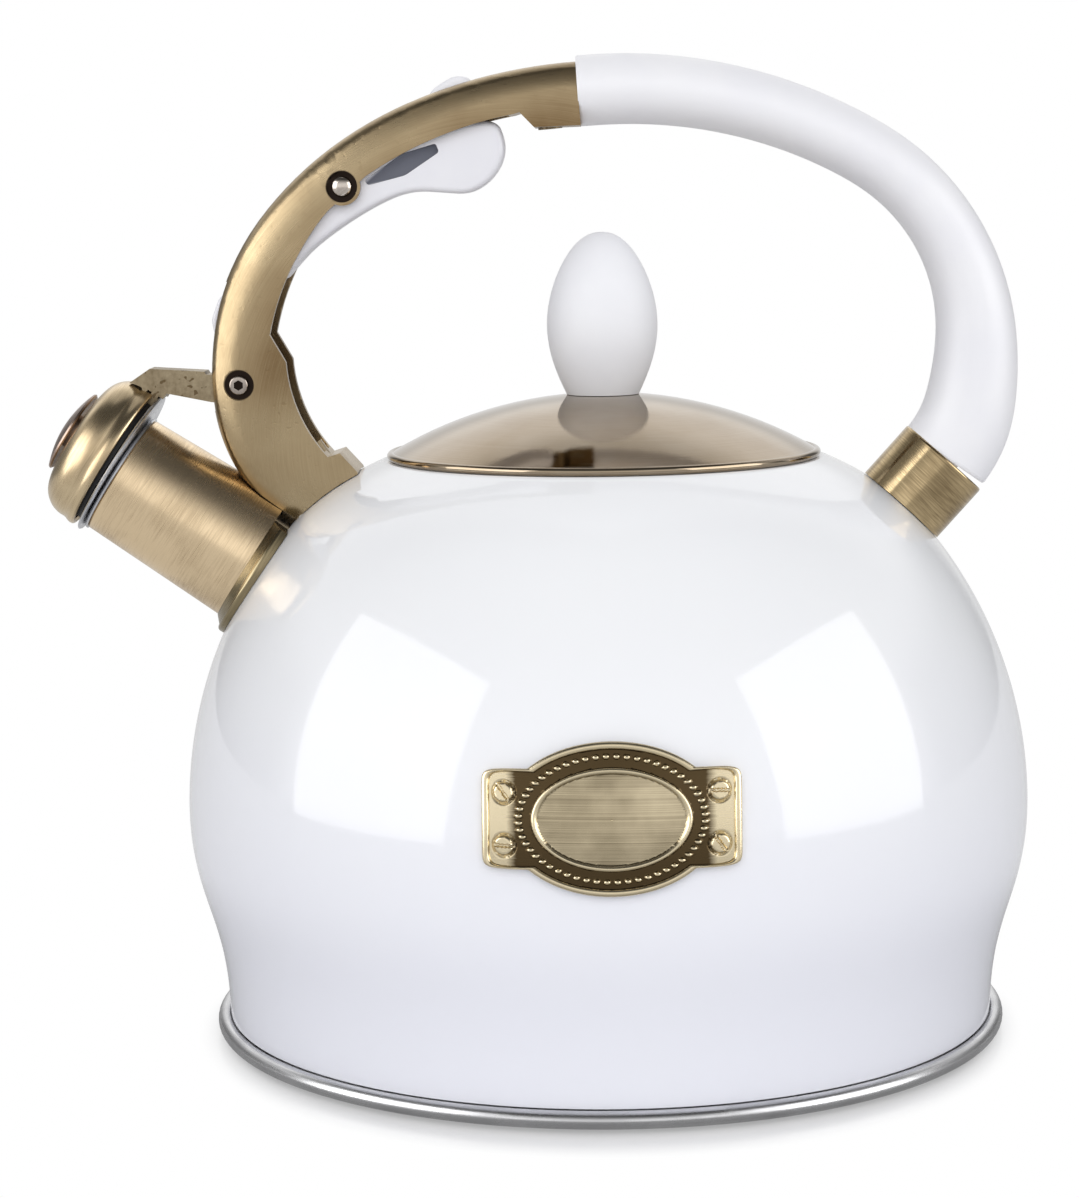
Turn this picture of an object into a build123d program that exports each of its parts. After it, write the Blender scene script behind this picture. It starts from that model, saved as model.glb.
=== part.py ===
from build123d import *
import math
import os

# Stovetop whistling kettle, millimetres, +Z up, standing on z = 0.
# The body axis is Z, the spout points to -X and the handle runs over the lid in the XZ plane.

# Vessel: outside profile as tangent arcs, from the widest ring up and down
BODY_R = 99.0
EQUATOR_Z = 53.2
UPPER_R, UPPER_TURN = 100.5, 40.0
SHOULDER_R = 56.9
LOWER_R, LOWER_TURN = 60.3, 20.5
WAIST_ARC_R = 73.7
SHEET = 0.9
NECK_R = 46.0
NECK_LAND = 6.0
NECK_EDGE_R = NECK_R + NECK_LAND
NECK_DEPTH = 8.0
NECK_FLANGE = 3.6
RING_EDGE = 0.4

# Bottom: crimped steel pan with a rolled rim, aluminium spreader and its cover
RIM_WIRE_R = 1.95
RIM_OUT = 3.0
SPREADER_R = 78.0
COVER_SHEET = 0.7
SPREADER_T = 1.7
PAN_SHEET = 0.9
PAN_WALL = 10.0
PAN_GAP = 0.1

# Lid
LID_OVERHANG = 4.7
LID_R = NECK_R + LID_OVERHANG
LID_RISE = 14.9
LID_SHEET = 0.9
LID_BEAD_R = 0.95
LID_REST_GAP = 0.2
PLUG_GAP = 0.35
PLUG_DEPTH = 11.5
KNOB_MAX_R = 12.85
KNOB_H = 37.3
KNOB_SCREW_R = 2.0

# Spout, on its own axis in the XZ plane
SPOUT_TILT = 33.4
SPOUT_ROOT = 34.7537
SPOUT_REACH = 39.8015
SPOUT_INSIDE = 20.2
LINER_R = 14.0
LINER_SHEET = 0.8
LINER_LIP = 1.1
SLEEVE_MOUTH_R, SLEEVE_FOOT_R = 14.75, 15.8
SLEEVE_LEN = 36.6
COLLAR_R = 18.9
FIT = 0.05

# Whistle cap, on an axis a little above that of the spout
CAP_RISE = 2.3
CAP_PLATE_R = 18.6
CAP_PLATE_T = 0.8
CAP_RING_R = 16.2
CAP_RING_T = 2.9
CAP_DOME_R = 18.4
CAP_SHEET = 0.9
CAP_DISC_R = 10.2
CAP_SEAT_GAP = 0.35
RIVET_UP, RIVET_YS = 10.6, (-2.4, 2.4)

# Handle front: arm, lever and trigger are drawn round a spout mouth at this place, and move with it
DRAWN_MOUTH = (-114.3, 132.4)
DRAWN_SPAN = 146.1995

# Handle arm: outer edge as three tangent arcs from the grip down to the foot
ARM_W = 18.0
ARM_TOP = (-5.6, 225.76)
ARM_HEAD = 93.1
ARM_ARCS = ((96.7, 56.6), (54.0, 22.9), (40.1, 64.3))
ARM_WALL = 2.2
ARM_FLOOR = 3.2
ARM_ROUND = 6.4
CLEAR = 0.3

# Pivots of the cap lever and the trigger
LEVER_AT = (-84.3, 152.8)
TRIGGER_AT = (-59.4, 198.0)
PIN_R = 2.0
RUN_FIT = 0.04
PIN_HEAD_R = 3.3
PIN_SINK = 1.0

# Torsion spring of the cap lever, wound on its pivot
WIRE_R = 0.4
COIL_R = 2.8
COIL_PITCH = 1.2
COIL_TURNS = 2 + 120 / 360
COIL_Y = 2.4
LEG_A, LEG_B = 7.0, 8.3

# Grip: centre line as tangent arcs, then the ferrule's straight run
GRIP_START_DX = 0.3
GRIP_ARCS = ((112.0, 35.3), (50.9, 59.4), (75.0, 12.0), (24.0, 30.0))
GRIP_HEAD = 4.7
GRIP_START = (-4.1768, 219.2234)
FERRULE_R = 11.35
CORE_W, CORE_T = 12.0, 6.0
CORE_FIT = 0.15

# Fixing screws
BOLT_R = 2.5
BOLT_HEAD_R, BOLT_HEAD_H = 4.6, 2.8
SEAL_R, SEAL_T = 6.6, 1.6

# Name plate, bare
PLATE_X, PLATE_Z = 0.9, 68.6
PLATE_W, PLATE_EAR_H = 53.0, 20.3
PLATE_OVAL_A, PLATE_OVAL_B = 22.5, 15.6
PLATE_T, PLATE_RIM_T = 1.3, 0.8
PLATE_BACK = 19.0

os.makedirs("parts", exist_ok=True)


def polar(centre, radius, angle):
    """Point at an angle in degrees on a circle in the XZ plane."""
    a = math.radians(angle)
    return (centre[0] + radius * math.cos(a), centre[1] + radius * math.sin(a))


def keep(built, label):
    """Label a finished part and write its STEP file."""
    built.part.label = label
    export_step(built.part, f"parts/{label}.step")


def arm_centres():
    """Centre, radius, start angle and turn of each arc of the arm's outer edge."""
    out = []
    angle, point = ARM_HEAD, arm_top
    for radius, turn in ARM_ARCS:
        centre = polar(point, -radius, angle)
        out.append((centre, radius, angle, turn))
        angle += turn
        point = polar(centre, radius, angle)
    return out


# Vessel shell
upper_c = (BODY_R - UPPER_R, EQUATOR_Z)
shoulder_c = polar(polar(upper_c, UPPER_R, UPPER_TURN), -SHOULDER_R, UPPER_TURN)
lower_c = (BODY_R - LOWER_R, EQUATOR_Z)
waist_c = polar(polar(lower_c, LOWER_R, -LOWER_TURN), WAIST_ARC_R, -LOWER_TURN)
WAIST_R = waist_c[0] - WAIST_ARC_R
SKIRT_Z = 2 * RIM_WIRE_R + 1.0 + PAN_GAP
neck_angle = math.degrees(math.acos((NECK_EDGE_R - shoulder_c[0]) / SHOULDER_R))
SEAT_Z = polar(shoulder_c, SHOULDER_R, neck_angle)[1]
inner_neck_angle = math.degrees(
    math.asin((SEAT_Z - SHEET - shoulder_c[1]) / (SHOULDER_R - SHEET))
)


def wall_lines(inset, end_angle):
    """Arcs of the vessel wall at a depth under the outside, bottom to neck."""
    Line((WAIST_R - inset, SKIRT_Z), (WAIST_R - inset, waist_c[1]))
    CenterArc(waist_c, WAIST_ARC_R + inset, 180, -LOWER_TURN)
    CenterArc(lower_c, LOWER_R - inset, -LOWER_TURN, LOWER_TURN)
    CenterArc(upper_c, UPPER_R - inset, 0, UPPER_TURN)
    CenterArc(shoulder_c, SHOULDER_R - inset, UPPER_TURN, end_angle - UPPER_TURN)


def solid_inside(inset, end_angle):
    """Filled solid of revolution bounded by the vessel wall at a depth."""
    top = polar(shoulder_c, SHOULDER_R - inset, end_angle)
    with BuildPart() as filled:
        with BuildSketch(Plane.XZ):
            with BuildLine():
                wall_lines(inset, end_angle)
                Polyline(top, (0, top[1]), (0, SKIRT_Z), (WAIST_R - inset, SKIRT_Z))
            make_face()
        revolve(axis=Axis.Z)
    return filled.part


body_fill = solid_inside(0, neck_angle)
cavity_fill = solid_inside(SHEET, inner_neck_angle)

# Spout frame: local x is up across the spout, local y runs out along it
tilt = math.radians(SPOUT_TILT)
spout_out = Vector(-math.cos(tilt), 0, math.sin(tilt))
spout_up = Vector(math.sin(tilt), 0, math.cos(tilt))
root_x, root_z = polar(upper_c, UPPER_R, SPOUT_ROOT)
mouth = Vector(-root_x, 0, root_z) + spout_out * SPOUT_REACH
liner_in = -(SPOUT_REACH + SPOUT_INSIDE)
spout_plane = Plane(origin=mouth, x_dir=spout_up, z_dir=(0, -1, 0))
spout_axis = Axis(mouth, spout_out)
cap_origin = mouth + spout_up * CAP_RISE
cap_plane = Plane(origin=cap_origin, x_dir=spout_up, z_dir=(0, -1, 0))
cap_axis = Axis(cap_origin, spout_out)


def front(*points):
    """Points of the handle's front in the XZ plane, moved with the spout's mouth."""
    dx, dz = mouth.X - DRAWN_MOUTH[0], mouth.Z - DRAWN_MOUTH[1]
    return tuple((x + dx, z + dz) for x, z in points)


arm_top, (LEVER_X, LEVER_Z), (TRIGGER_X, TRIGGER_Z), grip_p0 = front(
    ARM_TOP, LEVER_AT, TRIGGER_AT, GRIP_START
)

# Rear run of the grip, and the front foot, each square to the vessel wall.
# The first arc of the grip takes up what the span from mouth to shoulder gains or loses.
span_gain = shoulder_c[0] - mouth.X - DRAWN_SPAN
first_r, first_turn = GRIP_ARCS[0]
chord_share = math.sin(math.radians(GRIP_HEAD)) + math.sin(math.radians(first_turn - GRIP_HEAD))
grip_arcs = ((first_r + span_gain / chord_share, first_turn), *GRIP_ARCS[1:])
grip_nodes = []
g_angle, g_point = 90 + GRIP_HEAD, grip_p0
for radius, turn in grip_arcs:
    centre = polar(g_point, -radius, g_angle)
    grip_nodes.append((centre, radius, g_angle, turn))
    g_angle -= turn
    g_point = polar(centre, radius, g_angle)
grip_end, grip_end_angle = g_point, g_angle
rear_dir = (-math.sin(math.radians(-grip_end_angle)), -math.cos(math.radians(grip_end_angle)))
rear_run = 0.0
while True:
    rear_foot = (grip_end[0] + rear_dir[0] * rear_run, grip_end[1] + rear_dir[1] * rear_run)
    if math.hypot(rear_foot[0] - shoulder_c[0], rear_foot[1] - shoulder_c[1]) <= SHOULDER_R:
        break
    rear_run += 0.01
rear_plane = Plane(
    origin=(rear_foot[0], 0, rear_foot[1]),
    x_dir=(0, 1, 0),
    z_dir=(-rear_dir[0], 0, -rear_dir[1]),
)
FOOT_ANGLE = 55.0
foot_point = polar(shoulder_c, SHOULDER_R, FOOT_ANGLE)
foot_dir = polar((0, 0), 1, FOOT_ANGLE)
foot_plane = Plane(
    origin=(-foot_point[0], 0, foot_point[1]),
    x_dir=(0, 1, 0),
    z_dir=(-foot_dir[0], 0, foot_dir[1]),
)

with BuildPart() as body_shell:
    with BuildSketch(Plane.XZ):
        with BuildLine():
            wall_lines(0, neck_angle)
            wall_lines(SHEET, inner_neck_angle)
            Line((WAIST_R, SKIRT_Z), (WAIST_R - SHEET, SKIRT_Z))
            Polyline(
                (NECK_EDGE_R, SEAT_Z),
                (NECK_R + RING_EDGE, SEAT_Z),
                (NECK_R, SEAT_Z - RING_EDGE),
                (NECK_R, SEAT_Z - SHEET),
                polar(shoulder_c, SHOULDER_R - SHEET, inner_neck_angle),
            )
        make_face()
    revolve(axis=Axis.Z)
    with BuildSketch(Plane(origin=mouth, x_dir=(0, 1, 0), z_dir=-spout_out)):
        Circle(LINER_R + FIT)
    extrude(amount=60, mode=Mode.SUBTRACT)
    for seat in (rear_plane, foot_plane):
        with BuildSketch(seat):
            Circle(BOLT_R + CLEAR)
        extrude(amount=5, both=True, mode=Mode.SUBTRACT)
keep(body_shell, "body_shell")

# Neck ring, welded under the turned-in edge of the shell
ring_top = SEAT_Z - SHEET - FIT
with BuildPart() as neck_ring:
    with BuildSketch(Plane.XZ):
        with BuildLine():
            Polyline(
                (NECK_R, ring_top),
                (NECK_R + NECK_FLANGE, ring_top),
                (NECK_R + NECK_FLANGE, ring_top - SHEET),
                (NECK_R + SHEET, ring_top - SHEET),
                (NECK_R + SHEET, SEAT_Z - NECK_DEPTH),
                (NECK_R, SEAT_Z - NECK_DEPTH),
                close=True,
            )
        make_face()
    revolve(axis=Axis.Z)
keep(neck_ring, "neck_ring")

# Bottom pan, spreader and cover
PAN_Z = COVER_SHEET + SPREADER_T
rim_c = (WAIST_R + RIM_OUT - RIM_WIRE_R, 1.0 + RIM_WIRE_R)
pan_wall_r = WAIST_R - SHEET - PAN_GAP
with BuildPart() as base_pan:
    with BuildSketch(Plane.XZ):
        with Locations(rim_c):
            Circle(RIM_WIRE_R)
        with Locations(((rim_c[0]) / 2, PAN_Z + PAN_SHEET / 2)):
            Rectangle(rim_c[0], PAN_SHEET)
        with Locations((pan_wall_r - PAN_SHEET / 2, PAN_Z + PAN_WALL / 2)):
            Rectangle(PAN_SHEET, PAN_WALL)
    revolve(axis=Axis.Z)
keep(base_pan, "base_pan")

with BuildPart() as heat_spreader:
    with Locations((0, 0, COVER_SHEET)):
        Cylinder(SPREADER_R, SPREADER_T, align=(Align.CENTER, Align.CENTER, Align.MIN))
keep(heat_spreader, "heat_spreader")

with BuildPart() as base_cover:
    Cylinder(
        SPREADER_R + FIT + COVER_SHEET, PAN_Z, align=(Align.CENTER, Align.CENTER, Align.MIN)
    )
    fillet(base_cover.faces().sort_by(Axis.Z)[0].edges(), COVER_SHEET * 0.8)
    with Locations((0, 0, COVER_SHEET)):
        Cylinder(
            SPREADER_R + FIT,
            PAN_Z,
            align=(Align.CENTER, Align.CENTER, Align.MIN),
            mode=Mode.SUBTRACT,
        )
keep(base_cover, "base_cover")

# Spout
spout_foot = -(SLEEVE_LEN + LINER_LIP)
with BuildPart() as spout_liner:
    with BuildSketch(spout_plane):
        with BuildLine():
            Polyline(
                (LINER_R - LINER_SHEET, liner_in),
                (LINER_R, liner_in),
                (LINER_R, -LINER_LIP),
                (LINER_R + LINER_LIP, -LINER_LIP),
                (LINER_R + LINER_LIP, -LINER_LIP + LINER_SHEET * 0.5),
                (LINER_R + LINER_LIP - LINER_SHEET * 0.5, -LINER_LIP + LINER_SHEET),
                (LINER_R - LINER_SHEET + 0.4, -LINER_LIP + LINER_SHEET),
                (LINER_R - LINER_SHEET, -LINER_LIP + 0.1),
                close=True,
            )
        make_face()
    revolve(axis=spout_axis)
    add(cavity_fill, mode=Mode.SUBTRACT)
keep(spout_liner, "spout_liner")

with BuildPart() as spout_sleeve:
    with BuildSketch(spout_plane):
        with BuildLine():
            Polyline(
                (LINER_R + FIT, spout_foot),
                (SLEEVE_FOOT_R, spout_foot),
                (SLEEVE_MOUTH_R, -LINER_LIP - 0.4),
                (SLEEVE_MOUTH_R - 0.35, -LINER_LIP - FIT),
                (LINER_R + FIT, -LINER_LIP - FIT),
                close=True,
            )
        make_face()
    revolve(axis=spout_axis)
keep(spout_sleeve, "spout_sleeve")

arm_arcs = arm_centres()
arm_foot_angle = arm_arcs[2][2] + arm_arcs[2][3]
arm_foot = polar(arm_arcs[2][0], arm_arcs[2][1], arm_foot_angle)
arm_foot_end = polar(arm_foot, 7.0, arm_foot_angle + 90)


def arm_outer(inset=0.0):
    """Arcs of the arm's outer edge, at a depth under it."""
    for centre, radius, start, turn in arm_arcs:
        CenterArc(centre, radius - inset, start, turn)


ARM_INNER = (
    front((-57.3, 132.5), (-61.2, 136.8), (-64.0, 135.9)),
    front((-64.0, 135.9), (-70.0, 145.0), (-73.2, 158.0)),
    front((-76.8, 164.3), (-68.3, 185.0), (-55.0, 199.2)),
    front((-55.0, 199.2), (-38.6, 208.4), (-19.8, 213.9)),
)
ARM_BLOCK = front((-19.8, 213.9), (-18.4, 214.3), (-15.1, 210.9), (-4.4, 211.2))


def arm_side():
    """Closed outline of the arm's cheek."""
    arm_outer()
    Polyline(arm_foot, arm_foot_end, *front((-53.0, 124.0)), ARM_INNER[0][0])
    Polyline(*ARM_INNER[0])
    ThreePointArc(*ARM_INNER[1])
    Line(ARM_INNER[1][2], ARM_INNER[2][0])
    ThreePointArc(*ARM_INNER[2])
    ThreePointArc(*ARM_INNER[3])
    Polyline(*ARM_BLOCK, arm_top)


with BuildPart() as collar_cut:
    with BuildSketch(Plane.XZ):
        with BuildLine():
            arm_side()
        make_face()
        offset(amount=CLEAR)
    extrude(amount=30, both=True)

with BuildPart() as spout_collar:
    with BuildSketch(spout_plane):
        with BuildLine():
            Polyline(
                (LINER_R + FIT, liner_in + 4),
                (LINER_R + FIT, spout_foot - FIT),
                (SLEEVE_FOOT_R + 0.2, spout_foot - FIT),
                (COLLAR_R - 1.1, spout_foot - 1.7),
            )
            ThreePointArc(
                (COLLAR_R - 1.1, spout_foot - 1.7),
                (COLLAR_R - 0.25, spout_foot - 2.0),
                (COLLAR_R, spout_foot - 2.8),
            )
            Polyline(
                (COLLAR_R, spout_foot - 2.8), (COLLAR_R, liner_in + 4), (LINER_R + FIT, liner_in + 4)
            )
        make_face()
    revolve(axis=spout_axis)
    add(body_fill, mode=Mode.SUBTRACT)
    add(collar_cut.part, mode=Mode.SUBTRACT)
keep(spout_collar, "spout_collar")

# Handle arm: rounded channel open to the inside
slot_y = 4.6
tab_slot_y = 3.5
SLOTS = front((-88.0, 161.0), (-36.0, 219.0))
FLOOR_TOP_X = front((-21.0, 0))[0][0]
floor_start = math.degrees(
    math.acos((FLOOR_TOP_X - arm_arcs[0][0][0]) / (arm_arcs[0][1] - ARM_FLOOR))
)
FOOT_FLOOR = 5.0
floor_end = 222.0
c1, c2, c3 = arm_arcs
floor_last = polar(c3[0], c3[1] - ARM_FLOOR, floor_end)
floor_first = polar(c1[0], c1[1] - ARM_FLOOR, floor_start)
core_dir = (math.cos(math.radians(GRIP_HEAD)), math.sin(math.radians(GRIP_HEAD)))
core_back = 14.0
core_start = (grip_p0[0] - core_dir[0] * core_back, grip_p0[1] - core_dir[1] * core_back)
core_screw_x = grip_p0[0] - 8.0
core_plane = Plane(
    origin=(grip_p0[0], 0, grip_p0[1]), x_dir=(0, 1, 0), z_dir=(-core_dir[0], 0, -core_dir[1])
)
core_side = Plane(
    origin=(
        grip_p0[0] - core_dir[0] * 8.0 + core_dir[1] * 8.0,
        0,
        grip_p0[1] - core_dir[1] * 8.0 - core_dir[0] * 8.0,
    ),
    x_dir=(0, 1, 0),
    z_dir=(-core_dir[1], 0, core_dir[0]),
)
with BuildPart() as handle_arm:
    with BuildSketch(Plane.XZ):
        with BuildLine():
            arm_side()
        make_face()
        with Locations((TRIGGER_X, TRIGGER_Z)):
            Circle(4.3)
    extrude(amount=ARM_W / 2, both=True)
    rim_edges = [
        e
        for e in handle_arm.edges()
        if abs(abs(e.center().Y) - ARM_W / 2) < 1e-6
        and any(
            abs(e.radius - r) < 1e-4
            for r, _ in ARM_ARCS
            if e.geom_type == GeomType.CIRCLE
        )
    ]
    fillet(rim_edges, ARM_ROUND)
    with BuildSketch(Plane.XZ):
        with BuildLine():
            CenterArc(c1[0], c1[1] - ARM_FLOOR, floor_start, c1[2] + c1[3] - floor_start)
            CenterArc(c2[0], c2[1] - ARM_FLOOR, c2[2], c2[3])
            CenterArc(c3[0], c3[1] - ARM_FLOOR, c3[2], floor_end - c3[2])
            Polyline(
                floor_last,
                *front((-60.0, 140.3), (-40.0, 150.0), (-21.0, 190.0)),
                floor_first,
            )
        make_face()
    extrude(amount=ARM_W / 2 - ARM_WALL, both=True, mode=Mode.SUBTRACT)
    with BuildSketch(foot_plane):
        Circle(5.2)
    extrude(amount=10.5)
    add(body_fill, mode=Mode.SUBTRACT)
    with BuildSketch(spout_plane):
        with BuildLine():
            Polyline(
                (0, liner_in),
                (SLEEVE_FOOT_R + CLEAR, liner_in),
                (SLEEVE_FOOT_R + CLEAR, spout_foot),
                (SLEEVE_MOUTH_R + CLEAR, 0),
                (0, 0),
                close=True,
            )
        make_face()
    revolve(axis=spout_axis, mode=Mode.SUBTRACT)
    with BuildSketch(foot_plane.offset(-3)):
        Circle(BOLT_R + FIT)
    extrude(amount=12.0, mode=Mode.SUBTRACT)
    for (x, z), long, high, half_y in zip(SLOTS, (16.0, 15.0), (29.0, 16.0), (slot_y, tab_slot_y)):
        with Locations((x, 0, z)):
            Box(long, 2 * half_y, high, mode=Mode.SUBTRACT)
    with BuildSketch(core_plane):
        Rectangle(CORE_W + 2 * CORE_FIT, CORE_T + 2 * CORE_FIT)
    extrude(amount=core_back + 0.3, both=True, mode=Mode.SUBTRACT)
    with BuildSketch(core_side):
        Circle(1.5 + FIT)
    extrude(amount=6.0, mode=Mode.SUBTRACT)
    with BuildSketch(core_side):
        Circle(3.0 + FIT)
    extrude(amount=2.6, both=True, mode=Mode.SUBTRACT)
    for x, z in ((LEVER_X, LEVER_Z), (TRIGGER_X, TRIGGER_Z)):
        with Locations(Location((x, 0, z), (90, 0, 0))):
            Cylinder(PIN_R + FIT, 40, mode=Mode.SUBTRACT)
        for side in (-1, 1):
            with Locations(Location((x, side * (ARM_W / 2 - PIN_SINK + 2), z), (90, 0, 0))):
                Cylinder(PIN_HEAD_R + 0.3, 4, mode=Mode.SUBTRACT)
keep(handle_arm, "handle_arm")
print("handle_arm solids", len(handle_arm.solids()))

# Core bar of the grip, grip and ferrule
with BuildPart() as handle_core:
    with BuildLine(Plane.XZ) as core_path:
        Line(core_start, grip_p0)
        for centre, radius, start, turn in grip_nodes:
            CenterArc(centre, radius, start, -turn)
        Line(
            grip_end,
            (grip_end[0] + rear_dir[0] * (rear_run - 1.0), grip_end[1] + rear_dir[1] * (rear_run - 1.0)),
        )
    with BuildSketch(Plane(origin=core_path.wire() @ 0, x_dir=(0, 1, 0), z_dir=core_path.wire() % 0)):
        Rectangle(CORE_W, CORE_T)
    sweep(path=core_path.wire())
    with BuildSketch(rear_plane):
        Circle(BOLT_R + FIT)
    extrude(amount=11.0, mode=Mode.SUBTRACT)
    with BuildSketch(core_side):
        Circle(1.5 + FIT)
    extrude(amount=9.6, mode=Mode.SUBTRACT)
keep(handle_core, "handle_core")

# Share of the grip's length, half thickness and half width
GRIP_STATIONS = (
    (0.0, 8.1, 9.6),
    (0.0933, 8.1, 9.6),
    (0.1999, 7.9, 9.6),
    (0.3066, 7.7, 9.5),
    (0.4132, 7.6, 9.5),
    (0.5065, 7.6, 9.5),
    (0.5998, 7.8, 9.6),
    (0.6864, 8.3, 9.9),
    (0.7597, 8.9, 10.1),
    (0.8264, 9.6, 10.4),
    (0.8864, 10.2, 10.7),
    (0.9264, 10.6, 10.9),
    (0.9663, 10.9, 11.0),
    (1.0, 11.0, 11.0),
)
with BuildLine(Plane.XZ) as grip_path:
    for centre, radius, start, turn in grip_nodes:
        CenterArc(centre, radius, start, -turn)
grip_wire = grip_path.wire()
grip_len = grip_wire.length
with BuildPart() as handle_grip:
    for at, half_t, half_w in GRIP_STATIONS:
        where = grip_wire.position_at(max(at, GRIP_START_DX / grip_len))
        heading = grip_wire.tangent_at(max(at, GRIP_START_DX / grip_len))
        with BuildSketch(Plane(origin=where, x_dir=(0, 1, 0), z_dir=heading)):
            Ellipse(half_w, half_t)
    loft()
    with BuildLine(Plane.XZ) as bore_path:
        Line(core_start, grip_p0)
        for centre, radius, start, turn in grip_nodes:
            CenterArc(centre, radius, start, -turn)
        Line(grip_end, rear_foot)
    with BuildSketch(Plane(origin=bore_path.wire() @ 0, x_dir=(0, 1, 0), z_dir=bore_path.wire() % 0)):
        Rectangle(CORE_W + 2 * CORE_FIT, CORE_T + 2 * CORE_FIT)
    sweep(path=bore_path.wire(), mode=Mode.SUBTRACT)
keep(handle_grip, "handle_grip")

with BuildPart() as rear_ferrule:
    with BuildSketch(rear_plane):
        Circle(FERRULE_R)
    extrude(amount=rear_run - FIT)
    fillet(rear_ferrule.edges().sort_by(Axis(rear_plane.origin, rear_plane.z_dir))[-1], 0.6)
    with BuildSketch(rear_plane):
        Circle(FERRULE_R)
    extrude(amount=-6.0)
    add(body_fill, mode=Mode.SUBTRACT)
    with BuildSketch(rear_plane):
        Rectangle(CORE_W + 2 * CORE_FIT, CORE_T + 2 * CORE_FIT)
    extrude(amount=rear_run + 6, both=True, mode=Mode.SUBTRACT)
keep(rear_ferrule, "rear_ferrule")

# Fixing screws from inside the vessel, with their seals
with BuildPart() as handle_bolts:
    for seat, reach in ((rear_plane, 10.5), (foot_plane, 8.5)):
        with BuildSketch(seat.offset(-SHEET - SEAL_T)):
            Circle(BOLT_R)
        extrude(amount=reach + SHEET + SEAL_T)
        with BuildSketch(seat.offset(-SHEET - SEAL_T)):
            Circle(BOLT_HEAD_R)
        extrude(amount=-BOLT_HEAD_H)
        with BuildSketch(seat.offset(-SHEET - SEAL_T - BOLT_HEAD_H)):
            RegularPolygon(2.0, 6, major_radius=False)
        extrude(amount=1.8, mode=Mode.SUBTRACT)
keep(handle_bolts, "handle_bolts")

with BuildPart() as bolt_seals:
    for seat in (rear_plane, foot_plane):
        with BuildSketch(seat.offset(-SHEET - SEAL_T)):
            Circle(SEAL_R)
            Circle(BOLT_R + FIT, mode=Mode.SUBTRACT)
        extrude(amount=SEAL_T + SHEET)
    add(cavity_fill, mode=Mode.INTERSECT)
keep(bolt_seals, "bolt_seals")

with BuildPart() as core_screw:
    with BuildSketch(core_side):
        Circle(2.8)
    extrude(amount=2.4)
    with BuildSketch(core_side):
        Circle(1.5)
    extrude(amount=9.4)
    with BuildSketch(core_side):
        RegularPolygon(1.3, 6, major_radius=False)
    extrude(amount=1.3, mode=Mode.SUBTRACT)
keep(core_screw, "core_screw")

# Pivot pins
with BuildPart() as trigger_pin:
    with Locations(Location((TRIGGER_X, 0, TRIGGER_Z), (90, 0, 0))):
        Cylinder(PIN_R, ARM_W - 2 * PIN_SINK)
    for side in (-1, 1):
        with Locations(
            Location((TRIGGER_X, side * (ARM_W / 2 - PIN_SINK + 0.55), TRIGGER_Z), (90, 0, 0))
        ):
            Cylinder(PIN_HEAD_R - 0.3, 1.1)
    fillet(
        trigger_pin.faces().sort_by(Axis.Y)[0].edges() + trigger_pin.faces().sort_by(Axis.Y)[-1].edges(),
        0.8,
    )
keep(trigger_pin, "trigger_pin")

with BuildPart() as lever_screw:
    with Locations(Location((LEVER_X, 0.5, LEVER_Z), (90, 0, 0))):
        Cylinder(PIN_R, ARM_W - 2 * PIN_SINK + 1.0)
    with Locations(Location((LEVER_X, -(ARM_W / 2 - PIN_SINK + 0.6), LEVER_Z), (90, 0, 0))):
        Cylinder(PIN_HEAD_R, 1.2)
    with BuildSketch(Plane(origin=(LEVER_X, -(ARM_W / 2 + 0.2), LEVER_Z), x_dir=(1, 0, 0), z_dir=(0, 1, 0))):
        RegularPolygon(1.6, 6, major_radius=False)
    extrude(amount=1.1, mode=Mode.SUBTRACT)
keep(lever_screw, "lever_screw")

with BuildPart() as lever_nut:
    with Locations(Location((LEVER_X, ARM_W / 2 - PIN_SINK + 0.6, LEVER_Z), (90, 0, 0))):
        Cylinder(PIN_HEAD_R, 1.2)
        Cylinder(PIN_R + FIT, 3, mode=Mode.SUBTRACT)
keep(lever_nut, "lever_nut")

# Cap pieces
PLATE_LOW = -LINER_LIP + LINER_SHEET + CAP_SEAT_GAP
PLATE_TOP = PLATE_LOW + CAP_PLATE_T
RING_TOP = PLATE_TOP + CAP_RING_T
DOME_H = 9.0
CUP_R, CUP_H = 6.4, 3.6
with BuildPart() as whistle_plate:
    with BuildSketch(cap_plane):
        with BuildLine():
            Polyline(
                (1.6, PLATE_LOW),
                (CAP_PLATE_R - 0.3, PLATE_LOW),
                (CAP_PLATE_R, PLATE_LOW + 0.3),
                (CAP_PLATE_R, PLATE_TOP - 0.3),
                (CAP_PLATE_R - 0.3, PLATE_TOP),
                (1.6, PLATE_TOP),
                close=True,
            )
        make_face()
    revolve(axis=cap_axis)
    for y in RIVET_YS:
        with BuildSketch(Plane(origin=mouth + spout_up * RIVET_UP + Vector(0, y, 0), x_dir=(0, 1, 0), z_dir=spout_out)):
            Circle(1.0 + FIT)
        extrude(amount=4, both=True, mode=Mode.SUBTRACT)
keep(whistle_plate, "whistle_plate")

with BuildPart() as whistle_cup:
    with BuildSketch(cap_plane):
        with BuildLine():
            Polyline(
                (1.5, PLATE_LOW - CUP_H),
                (CUP_R - 0.8, PLATE_LOW - CUP_H),
                (CUP_R, PLATE_LOW - CUP_H + 0.8),
                (CUP_R, PLATE_LOW - FIT),
                (CUP_R - 0.6, PLATE_LOW - FIT),
                (CUP_R - 0.6, PLATE_LOW - CUP_H + 0.9),
                (CUP_R - 0.9, PLATE_LOW - CUP_H + 0.6),
                (1.5, PLATE_LOW - CUP_H + 0.6),
                close=True,
            )
        make_face()
    revolve(axis=cap_axis)
keep(whistle_cup, "whistle_cup")

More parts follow.
